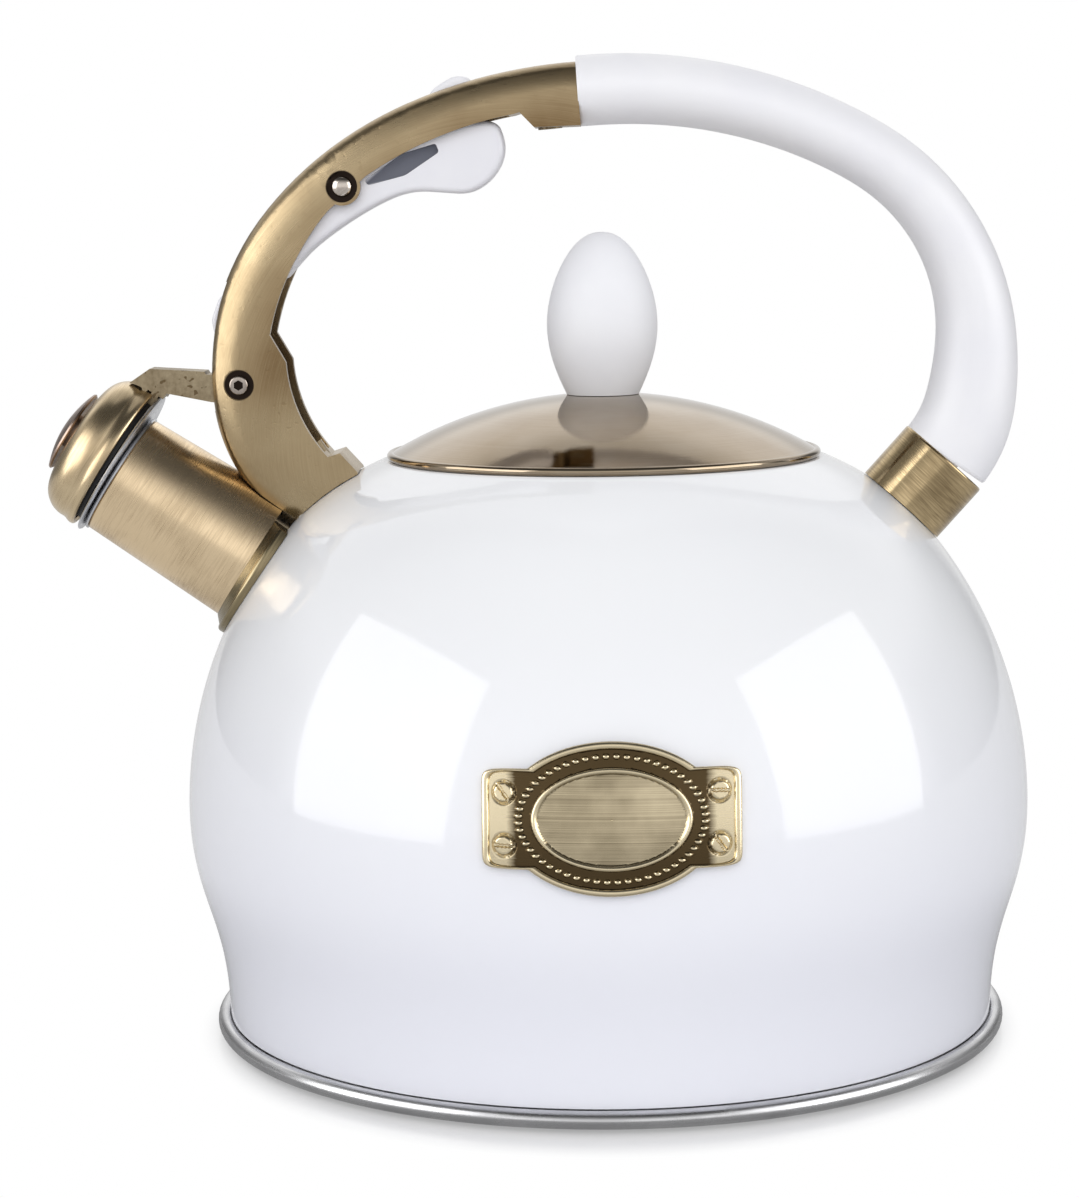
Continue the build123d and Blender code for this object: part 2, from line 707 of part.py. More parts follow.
DOME_LOW = RING_TOP + 0.1
DOME_POINTS = (
    (CAP_DOME_R - 1.6, DOME_LOW),
    (CAP_DOME_R - 0.1, RING_TOP + 1.5),
    (CAP_DOME_R - 1.7, RING_TOP + 6.0),
    (CAP_DOME_R - 6.2, RING_TOP + 8.7),
    (CAP_DOME_R - 9.5, RING_TOP + DOME_H),
)
# How much of the sheet's thickness each point moves in and down
DOME_SHIFT = ((1.0, 0.0), (1.0, 0.3), (0.85, 0.55), (0.4, 0.95), (0.1, 1.0))


def dome_lines(inset):
    """Outside of the cap's dome, or its inside at a depth."""
    a, b, m, c, d = [
        (r - inset * i, z - inset * j) for (r, z), (i, j) in zip(DOME_POINTS, DOME_SHIFT)
    ]
    Line(a, b)
    ThreePointArc(b, m, c)
    Line(c, d)
    return a, d


with BuildPart() as cap_dome:
    with BuildSketch(cap_plane):
        with BuildLine():
            a, d = dome_lines(0)
            i, j = dome_lines(CAP_SHEET)
            Polyline(d, (1.8, d[1]), (1.8, j[1]), j)
            Line(i, a)
        make_face()
    revolve(axis=cap_axis)
keep(cap_dome, "cap_dome")

DISC_LOW = RING_TOP + DOME_H + 0.7
with BuildPart() as whistle_disc:
    with BuildSketch(cap_plane):
        with BuildLine():
            Polyline(
                (1.3, DISC_LOW - 0.7 + FIT),
                (4.2, DISC_LOW - 0.7 + FIT),
                (4.2, DISC_LOW + 0.9),
                (CAP_DISC_R - 0.4, DISC_LOW),
                (CAP_DISC_R, DISC_LOW + 0.35),
                (CAP_DISC_R - 0.2, DISC_LOW + 0.75),
            )
            ThreePointArc(
                (CAP_DISC_R - 0.2, DISC_LOW + 0.75),
                (CAP_DISC_R * 0.55, DISC_LOW + 2.1),
                (1.3, DISC_LOW + 2.7),
            )
            Line((1.3, DISC_LOW + 2.7), (1.3, DISC_LOW - 0.7 + FIT))
        make_face()
    revolve(axis=cap_axis)
keep(whistle_disc, "whistle_disc")

TONGUE_P = (8.8, 22.5)
TONGUE_W = 8.0
tongue_low, tongue_top = PLATE_TOP + 0.1, PLATE_TOP + 1.9
with BuildPart() as cap_ring:
    with BuildSketch(cap_plane):
        with BuildLine():
            Polyline(
                (6.0, PLATE_TOP + FIT),
                (CAP_RING_R - 0.4, PLATE_TOP + FIT),
                (CAP_RING_R, PLATE_TOP + 0.5),
                (CAP_RING_R, RING_TOP - 0.4),
                (CAP_RING_R - 0.4, RING_TOP + FIT),
                (6.0, RING_TOP + FIT),
                close=True,
            )
        make_face()
    revolve(axis=cap_axis)
    with BuildSketch(spout_plane):
        with Locations(((TONGUE_P[0] + 30) / 2 - 0.3, (PLATE_TOP + RING_TOP) / 2)):
            Rectangle(30 - TONGUE_P[0] + 0.6, CAP_RING_T + 1)
    extrude(amount=TONGUE_W / 2 + 0.2, both=True, mode=Mode.SUBTRACT)
keep(cap_ring, "cap_ring")

LEVER_SIDE = front(
    (-84.3, 147.9),
    (-91.5, 148.7),
    (-101.8, 150.8),
    (-104.5, 146.5),
    (-109.5, 148.0),
    (-111.0, 153.0),
    (-105.6, 156.6),
    (-92.8, 155.8),
    (-92.4, 155.1),
    (-86.5, 155.1),
    (-86.5, 166.0),
    (-83.0, 166.4),
    (-80.2, 158.0),
    (-79.4, 152.8),
)
LEVER_W = 8.0
HUB_LOW, HUB_HIGH = -6.4, 1.6
HUB_R, HUB_END_R = 5.0, 3.2
with BuildPart() as cap_lever:
    with BuildSketch(Plane.XZ):
        with BuildLine():
            Polyline(*LEVER_SIDE, close=True)
        make_face()
    extrude(amount=LEVER_W / 2, both=True)
    with BuildSketch(cap_plane):
        with BuildLine():
            a, d = dome_lines(-0.15)
            Polyline(
                d,
                (0, d[1]),
                (0, PLATE_LOW - 1),
                (CAP_PLATE_R + 0.2, PLATE_LOW - 1),
                (CAP_PLATE_R + 0.2, DOME_LOW),
                a,
            )
        make_face()
    revolve(axis=cap_axis, mode=Mode.SUBTRACT)
    with BuildSketch(spout_plane):
        with Locations(((TONGUE_P[0] + TONGUE_P[1]) / 2, (tongue_low + tongue_top) / 2)):
            Rectangle(TONGUE_P[1] - TONGUE_P[0], tongue_top - tongue_low)
    extrude(amount=TONGUE_W / 2, both=True)
    with Locations(Location((LEVER_X, (HUB_HIGH - LEVER_W / 2) / 2, LEVER_Z), (90, 0, 0))):
        Cylinder(HUB_R, HUB_HIGH + LEVER_W / 2)
    with Locations(Location((LEVER_X, (HUB_LOW + HUB_HIGH) / 2, LEVER_Z), (90, 0, 0))):
        Cylinder(HUB_END_R, HUB_HIGH - HUB_LOW)
    with Locations(Location((LEVER_X, HUB_HIGH + 5, LEVER_Z), (90, 0, 0))):
        Cylinder(COIL_R + WIRE_R + 0.6, 10, mode=Mode.SUBTRACT)
    with Locations(Location((LEVER_X, 0, LEVER_Z), (90, 0, 0))):
        Cylinder(PIN_R + RUN_FIT, 40, mode=Mode.SUBTRACT)
    for y in RIVET_YS:
        with BuildSketch(Plane(origin=mouth + spout_up * RIVET_UP + Vector(0, y, 0), x_dir=(0, 1, 0), z_dir=spout_out)):
            Circle(1.0 + FIT)
        extrude(amount=4, mode=Mode.SUBTRACT)
keep(cap_lever, "cap_lever")
print("cap_lever solids", len(cap_lever.solids()))

with BuildPart() as cap_rivets:
    for y in RIVET_YS:
        base = mouth + spout_up * RIVET_UP + Vector(0, y, 0)
        lay = Plane(origin=base + spout_out * PLATE_LOW, x_dir=(0, 1, 0), z_dir=spout_out)
        with BuildSketch(lay):
            Circle(1.0)
        extrude(amount=tongue_top - PLATE_LOW)
        with BuildSketch(lay):
            Circle(1.4)
        extrude(amount=-0.5)
        with BuildSketch(lay.offset(tongue_top - PLATE_LOW)):
            Circle(1.5)
        extrude(amount=0.6)
keep(cap_rivets, "cap_rivets")

# Torsion spring of the cap lever
def coil_point(turn):
    """Point on the coil's centre line after a number of turns from its top."""
    a = math.radians(90) - 2 * math.pi * turn
    return Vector(
        LEVER_X + COIL_R * math.cos(a), COIL_Y + COIL_PITCH * turn, LEVER_Z + COIL_R * math.sin(a)
    )


with BuildPart() as cap_spring:
    with BuildLine() as wire:
        coil = Helix(
            pitch=COIL_PITCH,
            height=COIL_PITCH * COIL_TURNS,
            radius=COIL_R,
            center=(LEVER_X, COIL_Y, LEVER_Z),
            direction=(0, 1, 0),
        )
    start = coil @ 0
    first = math.degrees(math.atan2(start.Z - LEVER_Z, start.X - LEVER_X))
    path = coil.rotate(Axis((LEVER_X, 0, LEVER_Z), (0, 1, 0)), first - 90)
    with BuildSketch(Plane(origin=path @ 0, z_dir=path % 0)):
        Circle(WIRE_R)
    sweep(path=path, is_frenet=True)
    for end, way, length in ((path @ 0, (path % 0) * -1, LEG_A), (path @ 1, path % 1, LEG_B)):
        with BuildSketch(Plane(origin=end, z_dir=way)):
            Circle(WIRE_R)
        extrude(amount=length)
walk = [coil_point(COIL_TURNS * i / 400) for i in range(401)]
turn_gap = min(
    (walk[i] - walk[k]).length - 2 * WIRE_R for i in range(401) for k in range(i + 90, 401)
)
print("spring: least gap between turns", round(turn_gap, 3), "mm")
if turn_gap < 0.3:
    raise SystemExit("spring turns too close")
keep(cap_spring, "cap_spring")

# Trigger
PAD = front(
    (-23.8, 212.6),
    (-22.3, 209.0),
    (-21.9, 205.6),
    (-23.1, 201.8),
    (-26.1, 198.2),
    (-30.5, 195.9),
    (-35.8, 196.3),
    (-41.6, 196.8),
    (-46.2, 196.1),
    (-50.8, 194.2),
    (-56.7, 191.0),
    (-62.5, 187.2),
    (-67.2, 183.6),
    (-70.4, 180.2),
)
back_r = arm_arcs[0][1] - ARM_FLOOR - 0.9
BACK = tuple(polar(arm_arcs[0][0], back_r, a) for a in (141.0, 136.0, 131.0, 128.0))
TOP_LINE = front((-50.0, 205.6), (-40.0, 209.6), (-30.0, 211.8))
TRIGGER_W = 12.4
TAIL_W = 6.0
FINGER = (
    *front(
        (-77.5, 174.6),
        (-82.5, 170.6),
        (-86.9, 168.3),
        (-86.9, 164.4),
        (-90.2, 163.9),
        (-91.0, 167.6),
        (-89.0, 173.0),
        (-85.5, 174.2),
        (-81.5, 175.1),
    ),
    polar(arm_arcs[0][0], back_r, 148.0),
    polar(arm_arcs[0][0], back_r, 144.5),
    polar(arm_arcs[0][0], back_r, 141.0),
)
RECESS = front(
    (-54.3, 199.5), (-53.6, 198.2), (-44.9, 200.4), (-37.0, 205.6), (-37.8, 207.6), (-45.5, 205.4)
)
TAB = front((-38.0, 209.0), (-38.0, 219.7), (-33.0, 223.0), (-29.8, 222.0), (-29.8, 209.0))
with BuildPart() as trigger:
    with BuildSketch(Plane.XZ):
        with BuildLine():
            Spline(*PAD)
            Polyline(PAD[-1], *BACK, *TOP_LINE, PAD[0])
        make_face()
    extrude(amount=TRIGGER_W / 2, both=True)
    with BuildSketch(Plane.XZ):
        with BuildLine():
            Polyline(PAD[-2], *FINGER, *BACK[1:], *front((-56.0, 195.0)), close=True)
        make_face()
        with BuildLine():
            Polyline(*TAB, close=True)
        make_face()
    extrude(amount=TAIL_W / 2, both=True)
    with Locations(Location((TRIGGER_X, 0, TRIGGER_Z), (90, 0, 0))):
        Cylinder(PIN_R + RUN_FIT, 40, mode=Mode.SUBTRACT)
    for side in (-1, 1):
        with BuildSketch(Plane.XZ.offset(-side * TRIGGER_W / 2)):
            with BuildLine():
                Polyline(*RECESS, close=True)
            make_face()
        extrude(amount=side * 2.5, mode=Mode.SUBTRACT)
keep(trigger, "trigger")
print("trigger solids", len(trigger.solids()))

# Lid
lid_low = SEAT_Z + LID_REST_GAP
lid_top = lid_low + LID_RISE
bead_c = (LID_R - LID_BEAD_R, lid_low + LID_BEAD_R)
dome_rise = lid_top - bead_c[1] - 0.5
dome_r = (bead_c[0] ** 2 + dome_rise**2) / (2 * dome_rise)
dome_c = (0, lid_top - dome_r)
with BuildPart() as lid_dome:
    edge = math.degrees(math.acos(bead_c[0] / dome_r))
    edge_in = math.degrees(math.acos(bead_c[0] / (dome_r - LID_SHEET)))
    with BuildSketch(Plane.XZ):
        with BuildLine():
            CenterArc(dome_c, dome_r, edge, 90 - edge)
            CenterArc(dome_c, dome_r - LID_SHEET, edge_in, 90 - edge_in)
            Line((0, lid_top), (0, lid_top - LID_SHEET))
            Line(polar(dome_c, dome_r, edge), polar(dome_c, dome_r - LID_SHEET, edge_in))
        make_face()
        with Locations(bead_c):
            Circle(LID_BEAD_R)
    revolve(axis=Axis.Z)
    with Locations((0, 0, lid_top)):
        Cylinder(KNOB_SCREW_R + 0.2, 10, mode=Mode.SUBTRACT)
keep(lid_dome, "lid_dome")

plug_r = NECK_R - PLUG_GAP
plug_top = lid_low + 0.85
with BuildPart() as lid_plug:
    with BuildSketch(Plane.XZ):
        with BuildLine():
            Polyline(
                (plug_r - LID_SHEET, lid_low - PLUG_DEPTH),
                (plug_r - 0.4, lid_low - PLUG_DEPTH),
                (plug_r, lid_low - PLUG_DEPTH + 2.0),
                (plug_r, lid_low + 0.1),
                (bead_c[0] - LID_BEAD_R - FIT, lid_low + 0.1),
                (bead_c[0] - LID_BEAD_R - FIT, plug_top),
                (plug_r - LID_SHEET, plug_top),
                close=True,
            )
        make_face()
    revolve(axis=Axis.Z)
keep(lid_plug, "lid_plug")

KNOB_SHAPE = (
    (10.4, 0.10),
    (11.7, 0.21),
    (12.55, 0.315),
    (KNOB_MAX_R, 0.415),
    (12.35, 0.57),
    (11.4, 0.675),
    (10.1, 0.775),
    (7.9, 0.875),
    (4.8, 0.965),
)
KNOB_FOOT_R = 8.5
knob_foot = polar(dome_c, dome_r + FIT, math.degrees(math.acos(KNOB_FOOT_R / (dome_r + FIT))))
with BuildPart() as lid_knob:
    with BuildSketch(Plane.XZ):
        with BuildLine():
            Spline(
                knob_foot,
                *[(r * KNOB_MAX_R / 12.85, lid_top + KNOB_H * t) for r, t in KNOB_SHAPE],
                (0, lid_top + KNOB_H),
                tangents=((0.55, 1.0), (-1.0, 0.0)),
            )
            Line((0, lid_top + KNOB_H), (0, lid_top + FIT))
            foot_angle = math.degrees(math.acos(KNOB_FOOT_R / (dome_r + FIT)))
            CenterArc(dome_c, dome_r + FIT, foot_angle, 90 - foot_angle)
        make_face()
    revolve(axis=Axis.Z)
    with Locations((0, 0, lid_top)):
        Cylinder(KNOB_SCREW_R + FIT, 34, mode=Mode.SUBTRACT)
keep(lid_knob, "lid_knob")

washer_top = lid_top - LID_SHEET - 0.15
with BuildPart() as knob_washer:
    with Locations((0, 0, washer_top - 0.5)):
        Cylinder(5.2, 1.0)
        Cylinder(KNOB_SCREW_R + 0.2, 3.0, mode=Mode.SUBTRACT)
keep(knob_washer, "knob_washer")

with BuildPart() as knob_screw:
    with Locations((0, 0, washer_top - 1.0)):
        Cylinder(KNOB_SCREW_R, 17.0, align=(Align.CENTER, Align.CENTER, Align.MIN))
        Cylinder(3.6, 2.2, align=(Align.CENTER, Align.CENTER, Align.MAX))
    with BuildSketch(Plane.XY.offset(washer_top - 3.2)):
        Rectangle(4.4, 0.9)
        Rectangle(0.9, 4.4)
    extrude(amount=1.3, mode=Mode.SUBTRACT)
keep(knob_screw, "knob_screw")

# Name plate on the front, following the vessel wall
plate_raise = solid_inside(-PLATE_T, neck_angle)
rim_raise = solid_inside(-PLATE_T - PLATE_RIM_T, neck_angle)


def plate_outline(shrink):
    """Plate outline: two ears and an oval, drawn in by a margin."""
    with Locations((PLATE_X, PLATE_Z)):
        RectangleRounded(PLATE_W - 2 * shrink, PLATE_EAR_H - 2 * shrink, 1.6)
        Ellipse(PLATE_OVAL_A - shrink, PLATE_OVAL_B - shrink)


def in_front(sketch_maker, cover):
    """Prism of a front sketch, cut to the layer under a raised wall."""
    with BuildPart() as layer:
        with BuildSketch(Plane.XZ.offset(BODY_R - PLATE_BACK)):
            sketch_maker()
        extrude(amount=PLATE_BACK + 4 * PLATE_T)
        add(cover, mode=Mode.INTERSECT)
        add(body_fill, mode=Mode.SUBTRACT)
    return layer.part


def plate_rim():
    """Raised border strip and the ring round the oval field."""
    plate_outline(0)
    with Locations((PLATE_X, PLATE_Z)):
        RectangleRounded(PLATE_W - 3.2, PLATE_EAR_H - 3.2, 1.0, mode=Mode.SUBTRACT)
        Ellipse(PLATE_OVAL_A - 1.6, PLATE_OVAL_B - 1.6, mode=Mode.SUBTRACT)


def plate_ring():
    """Ring round the oval field."""
    with Locations((PLATE_X, PLATE_Z)):
        Ellipse(16.4, 10.4)
        Ellipse(15.1, 9.1, mode=Mode.SUBTRACT)


def plate_bosses():
    """Four round ornament bosses at the ears."""
    for sx in (-1, 1):
        for sz in (-1, 1):
            with Locations((PLATE_X + sx * 21.9, PLATE_Z + sz * 5.3)):
                Circle(2.05)


with BuildPart() as name_plate:
    add(in_front(lambda: plate_outline(0), plate_raise))
    add(in_front(plate_rim, rim_raise))
    add(in_front(plate_ring, rim_raise))
    add(in_front(plate_bosses, rim_raise))
keep(name_plate, "name_plate")
print("name_plate solids", len(name_plate.solids()))
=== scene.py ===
"""Looks of a stovetop whistling kettle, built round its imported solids.

All sizes are metres in the frame of the solids: Z is up along the body's axis, the spout points to -X and the
name plate faces -Y. Millimetre figures in the classes are turned into metres by MM.
"""

from __future__ import annotations

import logging
import math
from collections.abc import Callable, Sequence
from dataclasses import dataclass, field
from enum import Enum
from typing import Any

import bmesh
import bpy
import numpy as np
from mathutils import Matrix, Vector

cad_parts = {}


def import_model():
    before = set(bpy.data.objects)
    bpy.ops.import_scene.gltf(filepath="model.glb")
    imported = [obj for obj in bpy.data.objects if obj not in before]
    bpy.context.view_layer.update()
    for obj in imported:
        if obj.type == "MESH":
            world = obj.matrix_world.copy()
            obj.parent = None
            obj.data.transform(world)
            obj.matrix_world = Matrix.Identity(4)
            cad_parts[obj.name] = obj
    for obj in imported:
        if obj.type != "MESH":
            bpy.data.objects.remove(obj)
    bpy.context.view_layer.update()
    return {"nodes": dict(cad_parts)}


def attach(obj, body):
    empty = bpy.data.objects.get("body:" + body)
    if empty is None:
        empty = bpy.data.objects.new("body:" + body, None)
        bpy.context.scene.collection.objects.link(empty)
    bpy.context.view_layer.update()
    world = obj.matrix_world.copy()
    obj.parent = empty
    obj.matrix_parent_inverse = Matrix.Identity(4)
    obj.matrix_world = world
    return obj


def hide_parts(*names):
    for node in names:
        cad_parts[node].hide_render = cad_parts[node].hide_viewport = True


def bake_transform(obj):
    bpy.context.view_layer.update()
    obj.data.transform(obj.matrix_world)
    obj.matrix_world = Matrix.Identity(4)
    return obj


Array = np.ndarray
Point2 = tuple[float, float]
Point3 = tuple[float, float, float]
Colour = tuple[float, float, float]
Outline = tuple[Point2, ...]
Thing = bpy.types.Object

LOG = logging.getLogger("kettle")
MM = 0.001
WELD = 1e-7
SLIVER = 1e-8
SHARP = 35.0
SMOOTH = 50.0
TRIGGER_PIVOT: Point2 = (-59.4, 198.0)
LEVER_PIVOT: Point2 = (-84.3, 152.8)


# Surfaces


def placed(name: str, data: bpy.types.ID) -> Thing:
    """Link a new object to the scene.

    Args:
        name: Name of the object.
        data: Its mesh, light or camera.

    Returns:
        The object, at the origin.
    """
    thing = bpy.data.objects.new(name, data)
    bpy.context.scene.collection.objects.link(thing)
    return thing


def smoothed(mesh: bpy.types.Mesh, sharp: float) -> None:
    """Shade a mesh smooth, apart from edges that bend by more than sharp degrees."""
    mesh.polygons.foreach_set("use_smooth", np.ones(len(mesh.polygons), bool))
    mesh.set_sharp_from_angle(angle=math.radians(sharp))


def mark(mesh: bpy.types.Mesh, name: str, values: Array) -> None:
    """Write a number for each point into a mesh attribute, for a finish to read."""
    mesh.attributes.new(name, "FLOAT", "POINT").data.foreach_set("value", values.astype(np.float32))


@dataclass
class Surface:
    """Points and faces of a surface, in metres.

    quads are m by 4 point numbers, fans extra faces of any size, and raised says how far each point stands
    proud, from 0 to 1, for the finish to read.
    """

    points: Array
    quads: Array
    fans: list[list[int]] = field(default_factory=list)
    raised: Array | None = None

    def piece(self, name: str, sharp: float = SHARP) -> Thing:
        """Make a mesh object of the surface, with doubles merged and faces outwards.

        Args:
            name: Name of the object.
            sharp: Degrees above which an edge stays sharp.

        Returns:
            The object, at the origin.
        """
        mesh = bpy.data.meshes.new(name)
        mesh.from_pydata(self.points.tolist(), [], self.quads.tolist() + self.fans)
        if self.raised is not None:
            mark(mesh, "raised", self.raised)
        work = bmesh.new()
        work.from_mesh(mesh)
        bmesh.ops.remove_doubles(work, verts=work.verts, dist=WELD)
        bmesh.ops.dissolve_degenerate(work, edges=work.edges, dist=SLIVER)
        bmesh.ops.recalc_face_normals(work, faces=work.faces)
        work.to_mesh(mesh)
        work.free()
        smoothed(mesh, sharp)
        return placed(name, mesh)


def lattice(rows: int, columns: int, closed: bool = False) -> Array:
    """Faces of a grid of points stored row by row, where each row is a ring.

    Args:
        rows: Number of rows of points.
        columns: Number of points in a row.
        closed: Whether the last row joins the first.

    Returns:
        Array of m by 4 point numbers.
    """
    i = np.arange(rows if closed else rows - 1)[:, None]
    j = np.arange(columns)[None, :]
    a, b = i * columns, ((i + 1) % rows) * columns
    k = (j + 1) % columns
    return np.stack(np.broadcast_arrays(a + j, a + k, b + k, b + j), -1).reshape(-1, 4)


def tube(grid: Array) -> Surface:
    """Tube over rings of points, an array of rows by columns by 3 millimetres, with a face at each end."""
    numbers = np.arange(grid[..., 0].size).reshape(grid.shape[:2])
    return Surface(grid.reshape(-1, 3) * MM, lattice(*numbers.shape), numbers[[0, -1]].tolist())


def arc(centre: Point2, radius: float, start: float, turn: float, count: int) -> Array:
    """Points on a circle: centre plus radius times cosine and sine of evenly spaced angles in degrees."""
    angle = np.radians(np.linspace(start, start + turn, count))
    return np.stack((centre[0] + radius * np.cos(angle), centre[1] + radius * np.sin(angle)), -1)


def polar(centre: Point2, radius: float, angle: float) -> Point2:
    """Point at an angle in degrees on a circle."""
    a = math.radians(angle)
    return (centre[0] + radius * math.cos(a), centre[1] + radius * math.sin(a))


def run_of(line: Array) -> Array:
    """Running length of a polyline at each of its points."""
    return np.r_[0, np.cumsum(np.linalg.norm(np.diff(line, axis=0), axis=1))]


def left_of(way: Array) -> Array:
    """Unit vectors to the left of directions in the plane."""
    return np.stack((-way[:, 1], way[:, 0]), -1) / np.linalg.norm(way, axis=1)[:, None]


def evened(line: Array, step: float) -> Array:
    """Points at equal steps along a polyline, by linear interpolation over its running length.

    Args:
        line: Array of n by 2 points.
        step: Wanted distance between points.

    Returns:
        Array of m by 2 points with both ends kept.
    """
    run = run_of(line)
    at = np.linspace(0, run[-1], max(3, int(round(run[-1] / step)) + 1))
    return np.stack([np.interp(at, run, line[:, k]) for k in range(2)], -1)


def eased(line: Array, width: int) -> Array:
    """Evenly stepped line with its bends softened by a bell-shaped running mean, and its ends held.

    Args:
        line: Array of n by 2 evenly spaced points.
        width: Half width of the mean, in points, which is 2.2 times the bell's own width.

    Returns:
        Array of the same shape.
    """
    bell = np.exp(-0.5 * (np.arange(-width, width + 1) / (width / 2.2)) ** 2)
    bell /= bell.sum()
    head = 2 * line[0] - line[width:0:-1]
    tail = 2 * line[-1] - line[-2 : -width - 2 : -1]
    long = np.vstack((head, line, tail))
    return np.stack([np.convolve(long[:, k], bell, "valid") for k in range(2)], -1)


def softened(outline: Sequence[Point2], times: int) -> Array:
    """Closed outline with its corners cut at a quarter of each side, again and again, which rounds them.

    Args:
        outline: Corner points.
        times: How often the corners are cut.

    Returns:
        Array of points of the rounder outline.
    """
    points = np.asarray(outline, float)
    for _ in range(times):
        after = np.roll(points, -1, axis=0)
        points = np.stack((0.75 * points + 0.25 * after, 0.25 * points + 0.75 * after), 1).reshape(-1, 2)
    return points


def filleted(outline: Sequence[Point2], cut: float, count: int = 5) -> Array:
    """Closed outline with each corner P swapped for a short curve (1-s)^2 A + 2 s (1-s) P + s^2 B.

    Args:
        outline: Corner points.
        cut: Distance of A and B from the corner along its sides, at most 0.45 of a side.
        count: Points on each curve.

    Returns:
        Array of points of the rounder outline.
    """
    p = np.asarray(outline, float)
    back, ahead = np.roll(p, 1, axis=0) - p, np.roll(p, -1, axis=0) - p
    lengths = [np.linalg.norm(side, axis=1)[:, None] for side in (back, ahead)]
    reach = np.minimum(cut, 0.45 * np.minimum(*lengths))
    a, b = p + back / lengths[0] * reach, p + ahead / lengths[1] * reach
    s = np.linspace(0, 1, count)[None, :, None]
    return ((1 - s) ** 2 * a[:, None] + 2 * s * (1 - s) * p[:, None] + s**2 * b[:, None]).reshape(-1, 2)


@dataclass(frozen=True)
class Spindle:
    """An axis of turning, by a point on it in millimetres and its direction."""

    origin: Point3
    along: Point3

    def sides(self) -> tuple[Array, Array, Array]:
        """Find two directions square to the axis, by cross products.

        Returns:
            Unit vectors along the axis and square to it.
        """
        d = np.asarray(self.along, float) / np.linalg.norm(self.along)
        seed = np.array((0.0, 1.0, 0.0)) if abs(d[1]) < 0.9 else np.array((1.0, 0.0, 0.0))
        u = np.cross(d, seed)
        u /= np.linalg.norm(u)
        return d, u, np.cross(d, u)

    def lathe(self, profile: Array, segments: int, closed: bool = False) -> Surface:
        """Turn a profile of radius and height round the axis.

        The point at angle t is origin + height * along + radius * (u * cos t + v * sin t).

        Args:
            profile: Array of n by 2 radii and heights, in millimetres.
            segments: Number of steps round the axis.
            closed: Whether the profile's last point joins its first.

        Returns:
            The surface, in metres.
        """
        d, u, v = self.sides()
        t = np.linspace(0, 2 * np.pi, segments, endpoint=False)[None, :, None]
        around = u * np.cos(t) + v * np.sin(t)
        r, h = profile[:, 0][:, None, None], profile[:, 1][:, None, None]
        points = np.asarray(self.origin) + h * d + r * around
        return Surface(points.reshape(-1, 3) * MM, lattice(len(profile), segments, closed))


def across(at: Point2) -> Spindle:
    """Axis along Y through a place in the XZ plane."""
    return Spindle((at[0], 0, at[1]), (0, 1, 0))


def slab(outline: Array, half_width: float, round_off: float, rings: int = 5) -> Surface:
    """Plate with rounded edges that stands in the XZ plane.

    Near each side the outline is drawn in by round_off * (1 - cos a) while it moves by round_off * sin a.

    Args:
        outline: Closed outline as n by 2 points of x and z, in millimetres.
        half_width: Half the plate's width along Y.
        round_off: Radius of the edges.
        rings: Number of rings in each quarter circle.

    Returns:
        The surface, in metres.
    """
    normal = left_of(np.roll(outline, -1, axis=0) - np.roll(outline, 1, axis=0))
    x, z = outline.T
    if np.sum(x * np.roll(z, -1) - z * np.roll(x, -1)) < 0:
        normal = -normal
    a = np.linspace(0, np.pi / 2, rings)
    y = half_width - round_off + round_off * np.sin(a)
    inset = round_off * (1 - np.cos(a))
    y, inset = np.r_[-y[::-1], y], np.r_[inset[::-1], inset]
    flat = outline[None] + inset[:, None, None] * normal[None]
    return tube(np.stack((flat[..., 0], np.broadcast_to(y[:, None], flat.shape[:2]), flat[..., 1]), -1))


class Join(Enum):
    """Ways to combine two closed shapes."""

    ADD = "UNION"
    CUT = "DIFFERENCE"


def combine(thing: Thing, how: Join, other: Surface) -> None:
    """Add a closed surface to an object's mesh, or cut it away.

    Args:
        thing: The object to change.
        how: Whether the surface is added or cut away.
        other: The closed surface.
    """
    tool = other.piece("tool")
    cut = thing.modifiers.new("cut", "BOOLEAN")
    cut.operation, cut.solver, cut.object = how.value, "EXACT", tool
    bpy.context.view_layer.update()
    graph = bpy.context.evaluated_depsgraph_get()
    made = bpy.data.meshes.new_from_object(thing.evaluated_get(graph))
    thing.modifiers.remove(cut)
    old, thing.data = thing.data, made
    bpy.data.meshes.remove(old)
    bpy.data.objects.remove(tool)
    smoothed(made, SHARP)


# Shader maths


def operator(operation: str, swapped: bool = False) -> Callable[..., Wire]:
    """Make a method that adds one Math node.

    Args:
        operation: The node's operation, such as ADD.
        swapped: Whether the other value comes first.

    Returns:
        The method.
    """

    def method(self: Wire, other: Any = 0.0) -> Wire:
        """Add the node and hand out its value."""
        first, second = (other, self) if swapped else (self, other)
        return self.graph.node("Math", {0: first, 1: second}, operation=operation)

    return method


class Wire:
    """A shader socket that takes part in Python arithmetic."""

    __add__ = __radd__ = operator("ADD")
    __mul__ = __rmul__ = operator("MULTIPLY")
    __sub__ = operator("SUBTRACT")
    __rsub__ = operator("SUBTRACT", True)
    __truediv__ = operator("DIVIDE")
    least = operator("MINIMUM")
    most = operator("MAXIMUM")
    root = operator("SQRT")
    size = operator("ABSOLUTE")

    def __init__(self, graph: Graph, socket: bpy.types.NodeSocket) -> None:
        """Keep the socket and the tree it belongs to."""
        self.graph, self.socket = graph, socket

    def held(self) -> Wire:
        """Value held between 0 and 1."""
        return self.most(0.0).least(1.0)

    def ramp(self, low: float, high: float, start: float = 0.0, end: float = 1.0) -> Wire:
        """Smooth step from start to end while the value goes from low to high."""
        ends = {0: self, 1: low, 2: high, 3: start, 4: end}
        return self.graph.node("MapRange", ends, interpolation_type="SMOOTHSTEP")


